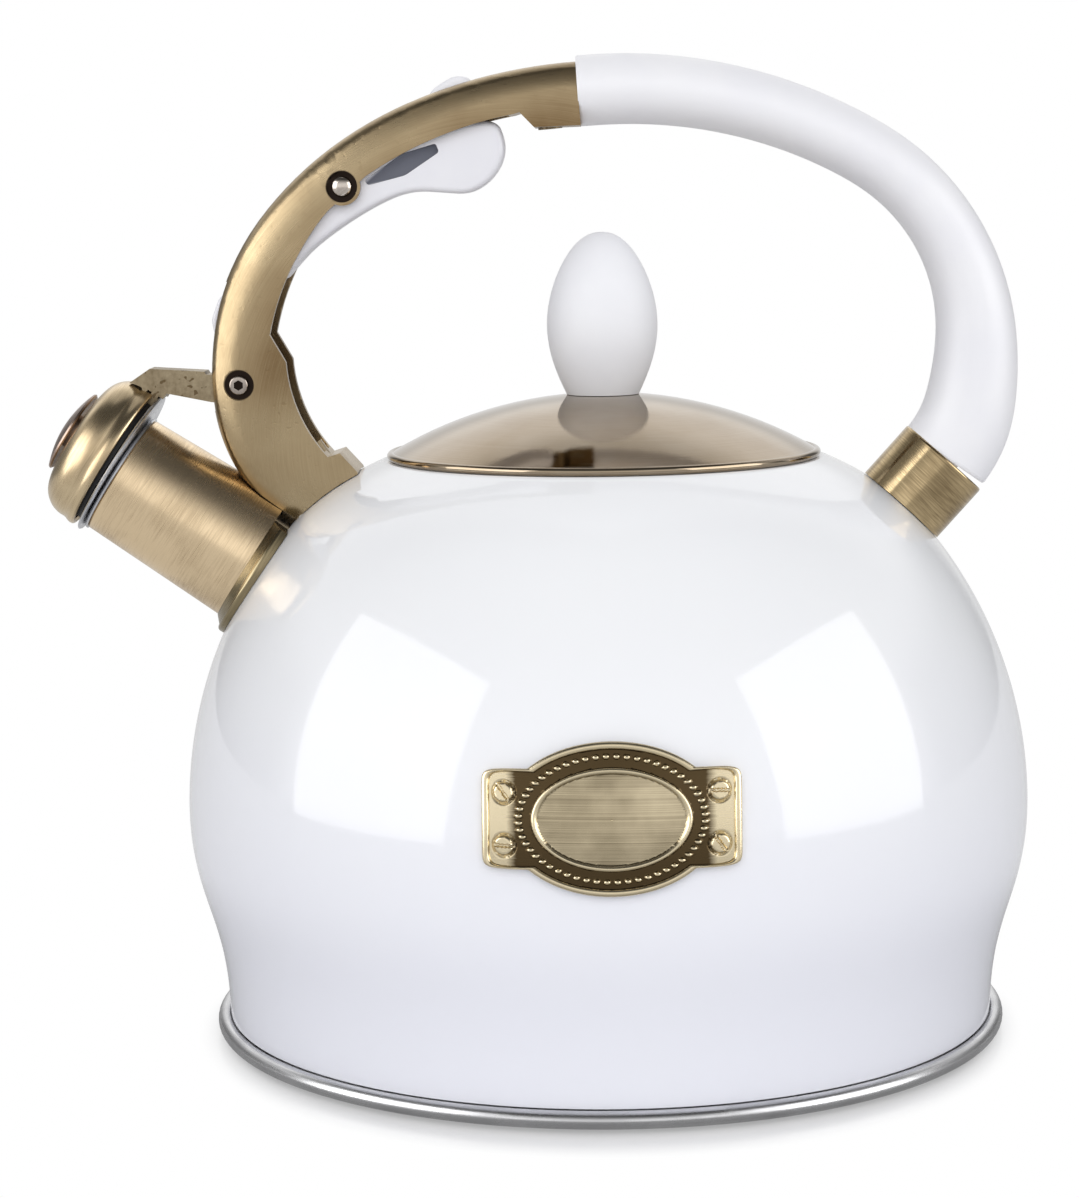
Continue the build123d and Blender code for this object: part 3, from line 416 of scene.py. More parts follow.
class Graph:
    """A material's or world's node tree with one way to add a node."""

    def __init__(self, tree: bpy.types.NodeTree) -> None:
        """Start from an empty tree."""
        self.tree = tree
        tree.nodes.clear()

    def node(
        self, kind: str, inputs: dict[str | int, Any] | None = None, out: int | str = 0, **settings: Any
    ) -> Wire:
        """Add a node, set it up and feed its sockets.

        Args:
            kind: Node type without ShaderNode, such as Math.
            inputs: Socket name or number, with a number, colour or Wire for each.
            out: Name or number of the output that is handed back.
            settings: Node properties, set first.

        Returns:
            The chosen output.
        """
        made = self.tree.nodes.new("ShaderNode" + kind)
        for key, value in settings.items():
            setattr(made, key, value)
        for key, value in (inputs or {}).items():
            socket = made.inputs[key]
            if isinstance(value, Wire):
                self.tree.links.new(value.socket, socket)
            else:
                socket.default_value = value
        return Wire(self, made.outputs[out] if made.outputs else None)

    def vector(self, operation: str, a: Any, b: Any = (0.0, 0.0, 0.0), out: int = 0) -> Wire:
        """Vector maths on two vectors. Output 1 is the number that a dot product or length gives."""
        return self.node("VectorMath", {0: a, 1: b}, out, operation=operation)

    def scaled(self, a: Any, by: Any) -> Wire:
        """Vector times a number."""
        return self.node("VectorMath", {0: a, "Scale": by}, operation="SCALE")

    def mix(self, share: Any, a: Any, b: Any) -> Wire:
        """Colour a, or b where share is 1."""
        first, second = ((*c, 1.0) if isinstance(c, tuple) else c for c in (a, b))
        return self.node("Mix", {0: share, 6: first, 7: second}, 2, data_type="RGBA")

    def noise(self, where: Any, scale: float, detail: float = 2.0, rough: float = 0.5) -> Wire:
        """Cloudy noise from 0 to 1 at a vector."""
        sizes = {"Vector": where, "Scale": scale, "Detail": detail, "Roughness": rough}
        return self.node("TexNoise", sizes)

    def place(self) -> Wire:
        """Object coordinates, which are metres in the kettle's own frame."""
        return self.node("TexCoord", out="Object")

    def attribute(self, name: str) -> Wire:
        """Value of a mesh attribute."""
        return self.node("Attribute", out="Fac", attribute_name=name)

    def ray(self, kind: str) -> Wire:
        """1 for rays of a kind, such as Is Camera Ray, and 0 for others."""
        return self.node("LightPath", out=kind)

    def axes(self, where: Wire) -> tuple[Wire, Wire, Wire]:
        """The three parts of a vector."""
        split = self.node("SeparateXYZ", {0: where}).socket.node
        return tuple(Wire(self, split.outputs[i]) for i in range(3))

    def bump(self, height: Wire, depth: float, strength: float) -> Wire:
        """Normal bent by a height that is depth metres high at 1."""
        return self.node("Bump", {"Height": height, "Distance": depth, "Strength": strength})


# Finishes

SPOUT_RISE, REAR_RISE = math.radians(33.4), math.radians(48)
SPOUT_WAY: Point3 = (-math.cos(SPOUT_RISE), 0, math.sin(SPOUT_RISE))


class Brush(Enum):
    """Axes that brush lines run round."""

    UPRIGHT = Spindle((0, 0, 0), (0, 0, 1))
    SPOUT = Spindle((-114.3, 0, 132.4), SPOUT_WAY)
    CAP = Spindle((-113.034, 0, 134.32), SPOUT_WAY)
    ARM = Spindle((-20.0, 0, 140.0), (0, 1, 0))
    REAR = Spindle((70.2, 0, 123.1), (math.cos(REAR_RISE), 0, math.sin(REAR_RISE)))


@dataclass(frozen=True)
class Finish:
    """Base of all finishes: a named material with one principled shader, and the name of a slot, which is not
    used.
    """

    name: str
    slot: str

    def shade(self, graph: Graph) -> dict[str, Any]:
        """Work out the inputs of the principled shader."""
        raise NotImplementedError

    def material(self) -> bpy.types.Material:
        """Build the material once and hand it out after that.

        Returns:
            The material.
        """
        found = bpy.data.materials.get(self.name)
        if found:
            return found
        made = bpy.data.materials.new(self.name)
        made.use_nodes = True
        graph = Graph(made.node_tree)
        shader = graph.node("BsdfPrincipled", self.shade(graph))
        graph.node("OutputMaterial", {"Surface": shader})
        return made

    def dress(self, thing: Thing) -> None:
        """Put the finish on every slot of an object.

        Args:
            thing: The object.
        """
        if not thing.material_slots:
            thing.data.materials.append(self.material())
        for slot in thing.material_slots:
            slot.material = self.material()


@dataclass(frozen=True)
class Enamel(Finish):
    """Glossy fired enamel: faint waviness, faint cloudiness and a cooler, darker tone towards the foot, which
    is painted shade.
    """

    # The low colour, towards the foot, is cooler and darker: painted shade.
    high: Colour = (0.87, 0.88, 0.905)
    low: Colour = (0.84, 0.85, 0.92)
    foot: Point2 = (0.02, 0.115)
    cloud: Point2 = (38.0, 0.25)
    gloss: Point2 = (0.05, 0.085)
    peel: float = 420.0
    peel_depth: float = 0.00001

    def shade(self, graph: Graph) -> dict[str, Any]:
        """Work out the inputs of the principled shader.

        Args:
            graph: The material's tree.

        Returns:
            A value or a Wire for each input.
        """
        where = graph.place()
        _, _, z = graph.axes(where)
        scale, weight = self.cloud
        cloud = graph.noise(where, scale, 3.0)
        # Painted shade: cooler and darker towards the foot, with random cloudiness.
        share = (z.ramp(*self.foot) + (cloud - 0.5) * weight).held()
        return {
            "Base Color": graph.mix(share, self.low, self.high),
            "Roughness": cloud.ramp(0.2, 0.8, *self.gloss),
            "IOR": 1.52,
            "Normal": graph.bump(graph.noise(where, self.peel, 1.0), self.peel_depth, 0.25),
        }


@dataclass(frozen=True)
class BrushedMetal(Finish):
    """Brushed metal whose lines run round an axis, with soft blotches of tarnish.

    The lines are noise that changes fast along and across the axis and slowly round it. Tarnish takes
    tarnish_share of the surface, changed by the lines times streaks and by the blotches times clouds, and is
    less where the attribute raised is high and more where the arm's darkening attribute is high: real patina
    with painted shade over it. Sunk rings, given by a place in XZ and a radius in millimetres, are painted
    near
    black: painted shade in the sinks.
    """

    bright: Colour
    tarnish: Colour
    brush: Brush = Brush.UPRIGHT
    rough: float = 0.28
    lines: float = 3800.0
    stretch: float = 2.4
    tarnish_share: float = 0.25
    streaks: float = 0.9
    clouds: float = 1.2
    blotch: float = 70.0
    pits: float = 0.0
    pit_scale: float = 900.0
    pit_edge: Point2 = (0.70, 0.78)
    relief: float = 0.0
    # Share of darkening from the arm's mark: real patina with painted shade over it.
    patina_and_shade: float = 0.0
    # Sunk rings below are painted near black: painted shade in the sinks.
    shaded_rings: tuple[tuple[Point2, float], ...] = ()
    ring_edge: float = 0.0004
    sunk: Point2 = (0.0083, 0.0088)
    sink_shade: Colour = (0.02, 0.014, 0.011)
    line_gloss: float = 0.22
    blotch_gloss: Point2 = (-0.04, 0.05)
    line_depth: float = 0.000012

    def grain(self, graph: Graph, where: Wire) -> Wire:
        """Brush lines as noise in the distance along the brush's axis and from it.

        Args:
            graph: The material's tree.
            where: Object coordinates.

        Returns:
            The lines, from 0 to 1.
        """
        spindle = self.brush.value
        d = tuple(spindle.sides()[0])
        rel = graph.vector("SUBTRACT", where, tuple(c * MM for c in spindle.origin))
        along = graph.vector("DOT_PRODUCT", rel, d, 1)
        out = graph.vector("SUBTRACT", rel, graph.scaled(d, along))
        reach = graph.vector("LENGTH", out, out=1)
        fast = graph.node("CombineXYZ", {0: along * self.lines, 1: reach * self.lines})
        slow = graph.scaled(graph.vector("NORMALIZE", out), self.stretch)
        return graph.noise(graph.vector("ADD", fast, slow), 1.0, 3.0, 0.6)

    def shade(self, graph: Graph) -> dict[str, Any]:
        """Work out the inputs of the principled shader.

        Args:
            graph: The material's tree.

        Returns:
            A value or a Wire for each input.
        """
        where = graph.place()
        grain = self.grain(graph, where)
        blotch = graph.noise(where, self.blotch, 3.0)
        share = (blotch - 0.5) * self.clouds + (grain - 0.5) * self.streaks + self.tarnish_share
        share = share.held()
        height = grain
        if self.pits:
            pit = graph.noise(where, self.pit_scale, 0.0).ramp(*self.pit_edge)
            share = share.most(pit * self.pits)
            height = grain - pit * 2.0
        if self.relief:
            share = (share + 1.0 - graph.attribute("raised") * self.relief).held()
        # Darker where the arm is marked: real patina with painted shade over it.
        if self.patina_and_shade:
            share = (share + graph.attribute("patina_and_shade") * self.patina_and_shade).least(1.0)
        colour = graph.mix(share, self.bright, self.tarnish)
        # Painted shade: near black inside each sunk ring, down in its sink.
        for (cx, cz), radius in self.shaded_rings:
            x, y, z = graph.axes(where)
            dx, dz, inner = x - cx * MM, z - cz * MM, radius * MM
            inside = (dx * dx + dz * dz).ramp(inner**2, (inner + self.ring_edge) ** 2, 1.0, 0.0)
            deep = y.size().ramp(*self.sunk, 1.0, 0.0)
            colour = graph.mix(inside * deep, colour, self.sink_shade)
        low, high = (self.rough + change for change in self.blotch_gloss)
        return {
            "Base Color": colour,
            "Metallic": 1.0,
            "Roughness": (grain - 0.5) * self.line_gloss + blotch.ramp(0.3, 0.7, low, high),
            "Normal": graph.bump(height, self.line_depth, 0.5),
        }


@dataclass(frozen=True)
class Plastic(Finish):
    """Moulded plastic with a fine grain and a slight unevenness of gloss."""

    colour: Colour = (0.83, 0.83, 0.86)
    shade_colour: Colour = (0.80, 0.80, 0.84)
    rough: float = 0.42
    grain: float = 2600.0
    depth: float = 0.00001
    soft: float = 0.0
    soft_reach: float = 0.004
    cloud: float = 45.0
    uneven: Point2 = (-0.03, 0.04)

    def shade(self, graph: Graph) -> dict[str, Any]:
        """Work out the inputs of the principled shader.

        Args:
            graph: The material's tree.

        Returns:
            A value or a Wire for each input.
        """
        where = graph.place()
        cloud = graph.noise(where, self.cloud, 3.0)
        fine = graph.noise(where, self.grain, 2.0)
        low, high = (self.rough + change for change in self.uneven)
        return {
            "Base Color": graph.mix(cloud.ramp(0.35, 0.65), self.colour, self.shade_colour),
            "Roughness": cloud.ramp(0.25, 0.75, low, high),
            "Subsurface Weight": self.soft,
            "Subsurface Radius": (self.soft_reach,) * 3,
            "Normal": graph.bump(fine, self.depth, 0.4),
        }


@dataclass(frozen=True)
class TriggerPlastic(Plastic):
    """White plastic with painted shade, a dark blue-grey, in the hollow on each side, inside a five-sided
    outline in XZ.

    The painted shade begins at the border, metres in from the outline, and ends at the floor, metres out
    from the XZ plane.
    """

    corners: Outline = (
        (-54.5, 198.4), (-44.9, 200.2), (-36.8, 205.6), (-37.6, 207.9), (-46.0, 205.7),
    )
    # Painted shade in each hollow: a dark blue-grey on its floor and lower walls.
    hollow: Colour = (0.15, 0.16, 0.205)
    border: Point2 = (-0.0006, 0.0002)
    floor: Point2 = (0.0052, 0.0058)

    def shade(self, graph: Graph) -> dict[str, Any]:
        """Work out the inputs of the principled shader.

        Args:
            graph: The material's tree.

        Returns:
            A value or a Wire for each input.
        """
        inputs = super().shade(graph)
        x, y, z = graph.axes(graph.place())
        share = y.size().ramp(*self.floor, 1.0, 0.0)
        inside: Wire | None = None
        for (ax, az), (bx, bz) in zip(self.corners, self.corners[1:] + self.corners[:1]):
            length = math.hypot(bx - ax, bz - az)
            nx, nz = -(bz - az) / length, (bx - ax) / length
            edge = ((x - ax * MM) * nx + (z - az * MM) * nz).ramp(*self.border)
            inside = edge if inside is None else inside.least(edge)
        # Painted shade over the hollows.
        inputs["Base Color"] = graph.mix(inside * share, inputs["Base Color"], self.hollow)
        return inputs


ENAMEL = Enamel("white_enamel", "enamel")
BRASS_DARK: Colour = (0.22, 0.14, 0.065)
LID_BRASS = BrushedMetal(
    "lid_brass", "brass", (0.37, 0.305, 0.228), (0.262, 0.19, 0.11), rough=0.045, lines=5200.0
)
SLEEVE_BRASS = BrushedMetal(
    "sleeve_brass", "brass", (0.84, 0.66, 0.43), BRASS_DARK, Brush.SPOUT, rough=0.24, tarnish_share=0.1
)
# Brass kept dark as painted shade, for the shadow band where the sleeve meets the body.
SHADED_COLLAR_BRASS = BrushedMetal(
    "shaded_collar_brass", "brass", (0.40, 0.33, 0.20), (0.10, 0.075, 0.04), Brush.SPOUT,
    rough=0.25, tarnish_share=0.4,
)
CAP_BRASS = BrushedMetal(
    "cap_brass", "brass", (0.70, 0.56, 0.36), BRASS_DARK, Brush.CAP, rough=0.27, tarnish_share=0.18
)
DISC_BRASS = BrushedMetal("disc_brass", "brass", (0.45, 0.34, 0.28), (0.16, 0.11, 0.09), Brush.CAP, rough=0.3)
FERRULE_BRASS = BrushedMetal(
    "ferrule_brass", "brass", (0.58, 0.45, 0.26), (0.10, 0.06, 0.025), Brush.REAR,
    rough=0.13, tarnish_share=0.3, streaks=1.2,
)
PLATE_BRASS = BrushedMetal(
    "plate_brass", "brass", (0.70, 0.60, 0.41), (0.085, 0.058, 0.028), rough=0.24, lines=3000.0, relief=1.9
)
# The arm's inner side is darkened by real patina with painted shade, and its pin sinks by painted shade.
ARM_BRASS = BrushedMetal(
    "arm_brass", "brass", (0.465, 0.365, 0.222), (0.19, 0.12, 0.055), Brush.ARM,
    rough=0.29, lines=5200.0, stretch=3.0, tarnish_share=0.2, streaks=0.5, clouds=0.7, pits=0.3,
    patina_and_shade=0.62, shaded_rings=((LEVER_PIVOT, 3.3), (TRIGGER_PIVOT, 3.5)),
)
LEVER_BRASS = BrushedMetal(
    "lever_brass", "brass", (0.40, 0.33, 0.22), (0.12, 0.08, 0.04), Brush.ARM,
    rough=0.42, lines=900.0, stretch=60.0, tarnish_share=0.3, pits=0.9,
)
STEEL = BrushedMetal("satin_steel", "steel", (0.68, 0.68, 0.69), (0.34, 0.34, 0.35), rough=0.27, lines=4200.0)
SPOUT_STEEL = BrushedMetal(
    "spout_steel", "steel", (0.60, 0.61, 0.64), (0.34, 0.34, 0.36), Brush.SPOUT, rough=0.25
)
BRIGHT_STEEL = BrushedMetal(
    "bright_steel", "fasteners", (0.66, 0.60, 0.54), (0.30, 0.24, 0.19), Brush.ARM, rough=0.18, lines=900.0
)
# The socket in the screw's head is painted near black: painted shade.
SCREW_STEEL = BrushedMetal(
    "screw_steel", "fasteners", (0.50, 0.45, 0.41), (0.24, 0.19, 0.15), Brush.ARM,
    rough=0.18, lines=900.0, shaded_rings=((LEVER_PIVOT, 1.15),),
)
ALUMINIUM = BrushedMetal("aluminium", "spreader", (0.66, 0.66, 0.67), (0.45, 0.45, 0.46), rough=0.4)
GRIP_WHITE = Plastic("grip_white", "grip")
# The trigger's white, with painted shade in its hollows.
TRIGGER_WHITE = TriggerPlastic("trigger_white", "grip", (0.80, 0.80, 0.84), (0.76, 0.76, 0.81), rough=0.36)
KNOB_WHITE = Plastic(
    "knob_white", "knob", (0.85, 0.855, 0.89), (0.82, 0.825, 0.865),
    rough=0.6, grain=3200.0, depth=0.00002, soft=0.15,
)
RUBBER = Plastic(
    "black_silicone", "rubber", (0.012, 0.012, 0.014), (0.018, 0.018, 0.02), rough=0.5, grain=1800.0
)

CAD_FINISHES: dict[Finish, tuple[str, ...]] = {
    STEEL: ("neck_ring", "base_pan", "base_cover", "lid_plug"),
    ALUMINIUM: ("heat_spreader",),
    SPOUT_STEEL: ("spout_liner", "whistle_plate", "whistle_cup"),
    SLEEVE_BRASS: ("spout_sleeve",),
    SHADED_COLLAR_BRASS: ("spout_collar",),
    FERRULE_BRASS: ("rear_ferrule",),
    BRIGHT_STEEL: ("handle_core", "handle_bolts", "lever_nut", "knob_washer", "knob_screw", "cap_rivets"),
    LEVER_BRASS: ("core_screw", "cap_lever"),
    LID_BRASS: ("lid_dome",),
    DISC_BRASS: ("whistle_disc",),
    RUBBER: ("bolt_seals", "cap_ring"),
}


# Pieces


def settle(thing: Thing, body: str, finish: Finish, *nodes: str) -> None:
    """Dress a new piece, let it ride on a body and stand for the nodes it is made from.

    Args:
        thing: The new piece.
        body: Name of the body that carries it.
        finish: Its finish.
        nodes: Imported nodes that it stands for.
    """
    finish.dress(thing)
    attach(thing, body)
    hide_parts(*nodes)
    LOG.info("%s stands for %s on %s, %d faces", thing.name, ", ".join(nodes), body, len(thing.data.polygons))


@dataclass
class Vessel:
    """Drawn and enamelled body: a wall of tangent arcs, turned round Z.

    Sizes are millimetres. upper and lower are the radius and the turn in degrees of the arcs at the widest
    place, and lip_arc the start and the turn of the arc at the mouth's edge.
    """

    radius: float = 99.0
    widest_z: float = 53.2
    upper: Point2 = (100.5, 40.0)
    shoulder_r: float = 56.9
    lower: Point2 = (60.3, 20.5)
    waist_r: float = 73.7
    skirt_z: float = 5.0
    sheet: float = 0.9
    mouth_edge_r: float = 52.0
    mouth_r: float = 46.0
    lip_arc: Point2 = (62.0, 28.0)
    lip_drop: float = 0.75
    rim_break: Point3 = (0.4, 0.1, 0.3)
    bore_r: float = 14.05
    bore_run: Point2 = (-62.0, 5.0)
    step: float = 0.5
    ease: int = 22
    row: float = 0.9
    segments: int = 224
    bore_segments: int = 96

    def wall(self) -> Array:
        """Outer profile from the skirt to the mouth's edge: tangent arcs with their joints eased.

        Returns:
            Array of n by 2 radii and heights.
        """
        up_r, up_turn = self.upper
        low_r, low_turn = self.lower
        up_c = (self.radius - up_r, self.widest_z)
        top_c = polar(polar(up_c, up_r, up_turn), -self.shoulder_r, up_turn)
        low_c = (self.radius - low_r, self.widest_z)
        waist_c = polar(polar(low_c, low_r, -low_turn), self.waist_r, -low_turn)
        end = math.degrees(math.acos((self.mouth_edge_r - top_c[0]) / self.shoulder_r))
        parts = (
            [(waist_c[0] - self.waist_r, self.skirt_z)],
            arc(waist_c, self.waist_r, 180, -low_turn, 60),
            arc(low_c, low_r, -low_turn, low_turn, 60)[1:],
            arc(up_c, up_r, 0, up_turn, 120)[1:],
            arc(top_c, self.shoulder_r, up_turn, end - up_turn, 80)[1:],
        )
        return eased(evened(np.vstack(parts), self.step), self.ease)

    def radius_at(self, z: Array) -> Array:
        """Outer radius of the wall at heights, by interpolation along the profile."""
        line = self.wall()
        return np.interp(z, line[:, 1], line[:, 0])

    def build(self) -> None:
        """Turn the wall, with its inside and its turned-in edge, and cut the spout's hole."""
        outer = evened(self.wall(), self.row)
        inner = (outer + self.sheet * left_of(np.gradient(outer, axis=0)))[::-2]
        seat = outer[-1, 1]
        lip = arc((self.mouth_edge_r - self.sheet, seat - self.lip_drop), self.sheet, *self.lip_arc, 4)
        wide, rise, drop = self.rim_break
        rim = [(wide, rise), (0.0, -drop), (0.0, -self.sheet)] + np.array((self.mouth_r, seat))
        inside = inner[inner[:, 1] < seat - self.sheet]
        foot = [(outer[0, 0] - self.sheet, self.skirt_z)]
        profile = np.vstack((outer[:-1], lip, rim, inside, foot))
        body = Brush.UPRIGHT.value.lathe(profile, self.segments, True).piece("enamel_body")
        low, high = self.bore_run
        bore = np.array([(0, low), (self.bore_r, low), (self.bore_r, high), (0, high)])
        combine(body, Join.CUT, Brush.SPOUT.value.lathe(bore, self.bore_segments))
        settle(body, "kettle", ENAMEL, "body_shell")


@dataclass
class Grip:
    """White grip: an ellipse carried along tangent arcs in the XZ plane, from the arm to the ferrule.

    Sizes are millimetres. thick and wide are the ellipse's halves at shares of the run.
    """

    start: Point2 = (-4.1768, 219.2234)
    heading: float = 94.7
    arcs: Outline = ((112.0, 35.3), (50.9, 59.4), (75.0, 12.0), (24.0, 30.0))
    shares: tuple[float, ...] = (0.0, 0.2, 0.4, 0.5, 0.6, 0.7, 0.8, 0.9, 1.0)
    thick: tuple[float, ...] = (8.1, 7.9, 7.62, 7.6, 7.8, 8.37, 9.3, 10.4, 11.0)
    wide: tuple[float, ...] = (9.6, 9.6, 9.5, 9.5, 9.6, 9.92, 10.3, 10.75, 11.0)
    degree: int = 6
    reach_back: float = 0.95
    end_gap: float = 0.05
    round_off: float = 0.35
    step: float = 0.5
    ease: int = 16
    segments: int = 96

    def line(self) -> Array:
        """Centre line of the grip: tangent arcs with their joints eased.

        Returns:
            Array of n by 2 places in XZ.
        """
        angle, point, runs = self.heading, self.start, []
        for radius, turn in self.arcs:
            centre = polar(point, -radius, angle)
            runs.append(arc(centre, radius, angle, -turn, 90))
            angle -= turn
            point = polar(centre, radius, angle)
        joined = np.vstack([runs[0]] + [r[1:] for r in runs[1:]])
        line = eased(evened(joined, self.step), self.ease)
        first, last = line[0] - line[1], line[-1] - line[-2]
        line[0] += first / np.linalg.norm(first) * self.reach_back
        line[-1] -= last / np.linalg.norm(last) * self.end_gap
        return evened(line, self.step)

    def build(self) -> None:
        """Carry the ellipse along the line: point + normal * thick * cos a + Y * wide * sin a."""
        line = self.line()
        run = run_of(line)
        normal = left_of(np.gradient(line, axis=0))
        near = np.clip(np.minimum(run, run[-1] - run) / self.round_off, 0, 1)
        draw_in = self.round_off * (1 - np.sqrt(1 - (1 - near) ** 2))
        fit = np.polynomial.Polynomial.fit
        curves = (fit(self.shares, sizes, self.degree) for sizes in (self.thick, self.wide))
        thick, wide = ((curve(run / run[-1]) - draw_in)[:, None] for curve in curves)
        a = np.linspace(0, 2 * np.pi, self.segments, endpoint=False)
        flat = line[:, None] + normal[:, None] * (thick * np.cos(a))[..., None]
        points = np.stack((flat[..., 0], wide * np.sin(a), flat[..., 1]), -1)
        settle(tube(points).piece("white_grip", SMOOTH), "kettle", GRIP_WHITE, "handle_grip")


@dataclass
class Trigger:
    """White trigger: a rounded pad with its tail, finger and tab, as outlines in XZ in millimetres."""

    half_width: float = 6.2
    pad_round: float = 1.5
    pad: Outline = (
        (-23.8, 212.6), (-22.3, 209.0), (-21.9, 205.6), (-23.1, 201.8), (-26.1, 198.2), (-30.5, 195.9),
        (-35.8, 196.3), (-41.6, 196.8), (-46.2, 196.1), (-50.8, 194.2), (-56.7, 191.0), (-62.5, 187.2),
        (-67.2, 183.6), (-71.0, 179.6), (-74.0, 176.0), (-78.0, 179.5), (-75.0, 186.0), (-70.0, 191.5),
        (-64.0, 197.3), (-58.0, 202.6), (-50.0, 206.8), (-40.0, 210.4), (-30.0, 212.6),
    )
    tail_half: float = 3.0
    finger_round: Point2 = (1.2, 0.7)
    finger: Outline = (
        (-67.2, 183.6), (-77.5, 174.6), (-82.5, 170.6), (-86.9, 168.3), (-86.9, 164.4), (-90.2, 163.9),
        (-91.0, 167.6), (-89.0, 173.0), (-85.5, 174.2), (-81.5, 175.1), (-79.2, 177.2), (-76.0, 182.0),
        (-72.1, 186.7), (-66.7, 193.4), (-60.4, 199.3), (-56.0, 195.0),
    )
    tab_round: Point2 = (4.0, 1.2)
    tab: Outline = ((-40.0, 209.0), (-40.0, 219.2), (-33.4, 223.1), (-29.4, 222.4), (-29.2, 209.0))
    hollow_floor: float = 3.7
    hollow_half: float = 2.0
    hollow_round: Point2 = (0.7, 0.2)
    hollow: Outline = (
        (-54.3, 199.5), (-53.6, 198.2), (-44.9, 200.4), (-37.0, 205.6), (-37.8, 207.6), (-45.5, 205.4),
    )

    def build(self) -> None:
        """Round the pad, cut a hollow into each side, and add the tail with its finger and the tab."""
        thing = slab(softened(self.pad, 3), self.half_width, self.pad_round, 7).piece("white_trigger", SMOOTH)
        corner, edge = self.hollow_round
        for side in (-1, 1):
            cut = slab(filleted(self.hollow, corner), self.hollow_half, edge, 3)
            cut.points[:, 1] += side * (self.hollow_floor + self.hollow_half) * MM
            combine(thing, Join.CUT, cut)
        corner, edge = self.finger_round
        combine(thing, Join.ADD, slab(filleted(self.finger, corner), self.tail_half, edge))
        corner, edge = self.tab_round
        combine(thing, Join.ADD, slab(filleted(self.tab, corner, 9), self.tail_half, edge))
        settle(thing, "trigger", TRIGGER_WHITE, "trigger")


@dataclass
class Knob:
    """Frosted egg knob, turned round Z.

    The radius is a smooth function of the root of the distance below the tip, which gives a round tip.
    """

    tip: float = 186.857
    foot: float = 149.30
    below: tuple[float, ...] = (
        0.0, 0.46, 1.8, 4.5, 8.6, 12.6, 15.5, 18.5, 21.5, 24.5, 27.6, 30.4, 33.2, 35.4, 37.5,
    )
    radii: tuple[float, ...] = (
        0.0, 2.68, 5.0, 7.46, 9.85, 11.5, 12.2, 12.7, 12.85, 12.75, 12.2, 11.4, 10.4, 9.4, 8.5,
    )
    degree: int = 7
    rings: int = 120
    segments: int = 128

    def build(self) -> None:
        """Fit the curve, turn it and close the foot."""
        curve = np.polynomial.Polynomial.fit(np.sqrt(self.below), self.radii, self.degree)
        root = np.linspace(0, math.sqrt(self.tip - self.foot), self.rings)
        side = np.stack((np.maximum(curve(root), 0.0), self.tip - root**2), -1)
        side[0, 0] = 0.0
        profile = np.vstack((side, [(0.0, self.foot)]))
        knob = Brush.UPRIGHT.value.lathe(profile, self.segments).piece("egg_knob", SMOOTH)
        settle(knob, "lid", KNOB_WHITE, "lid_knob")


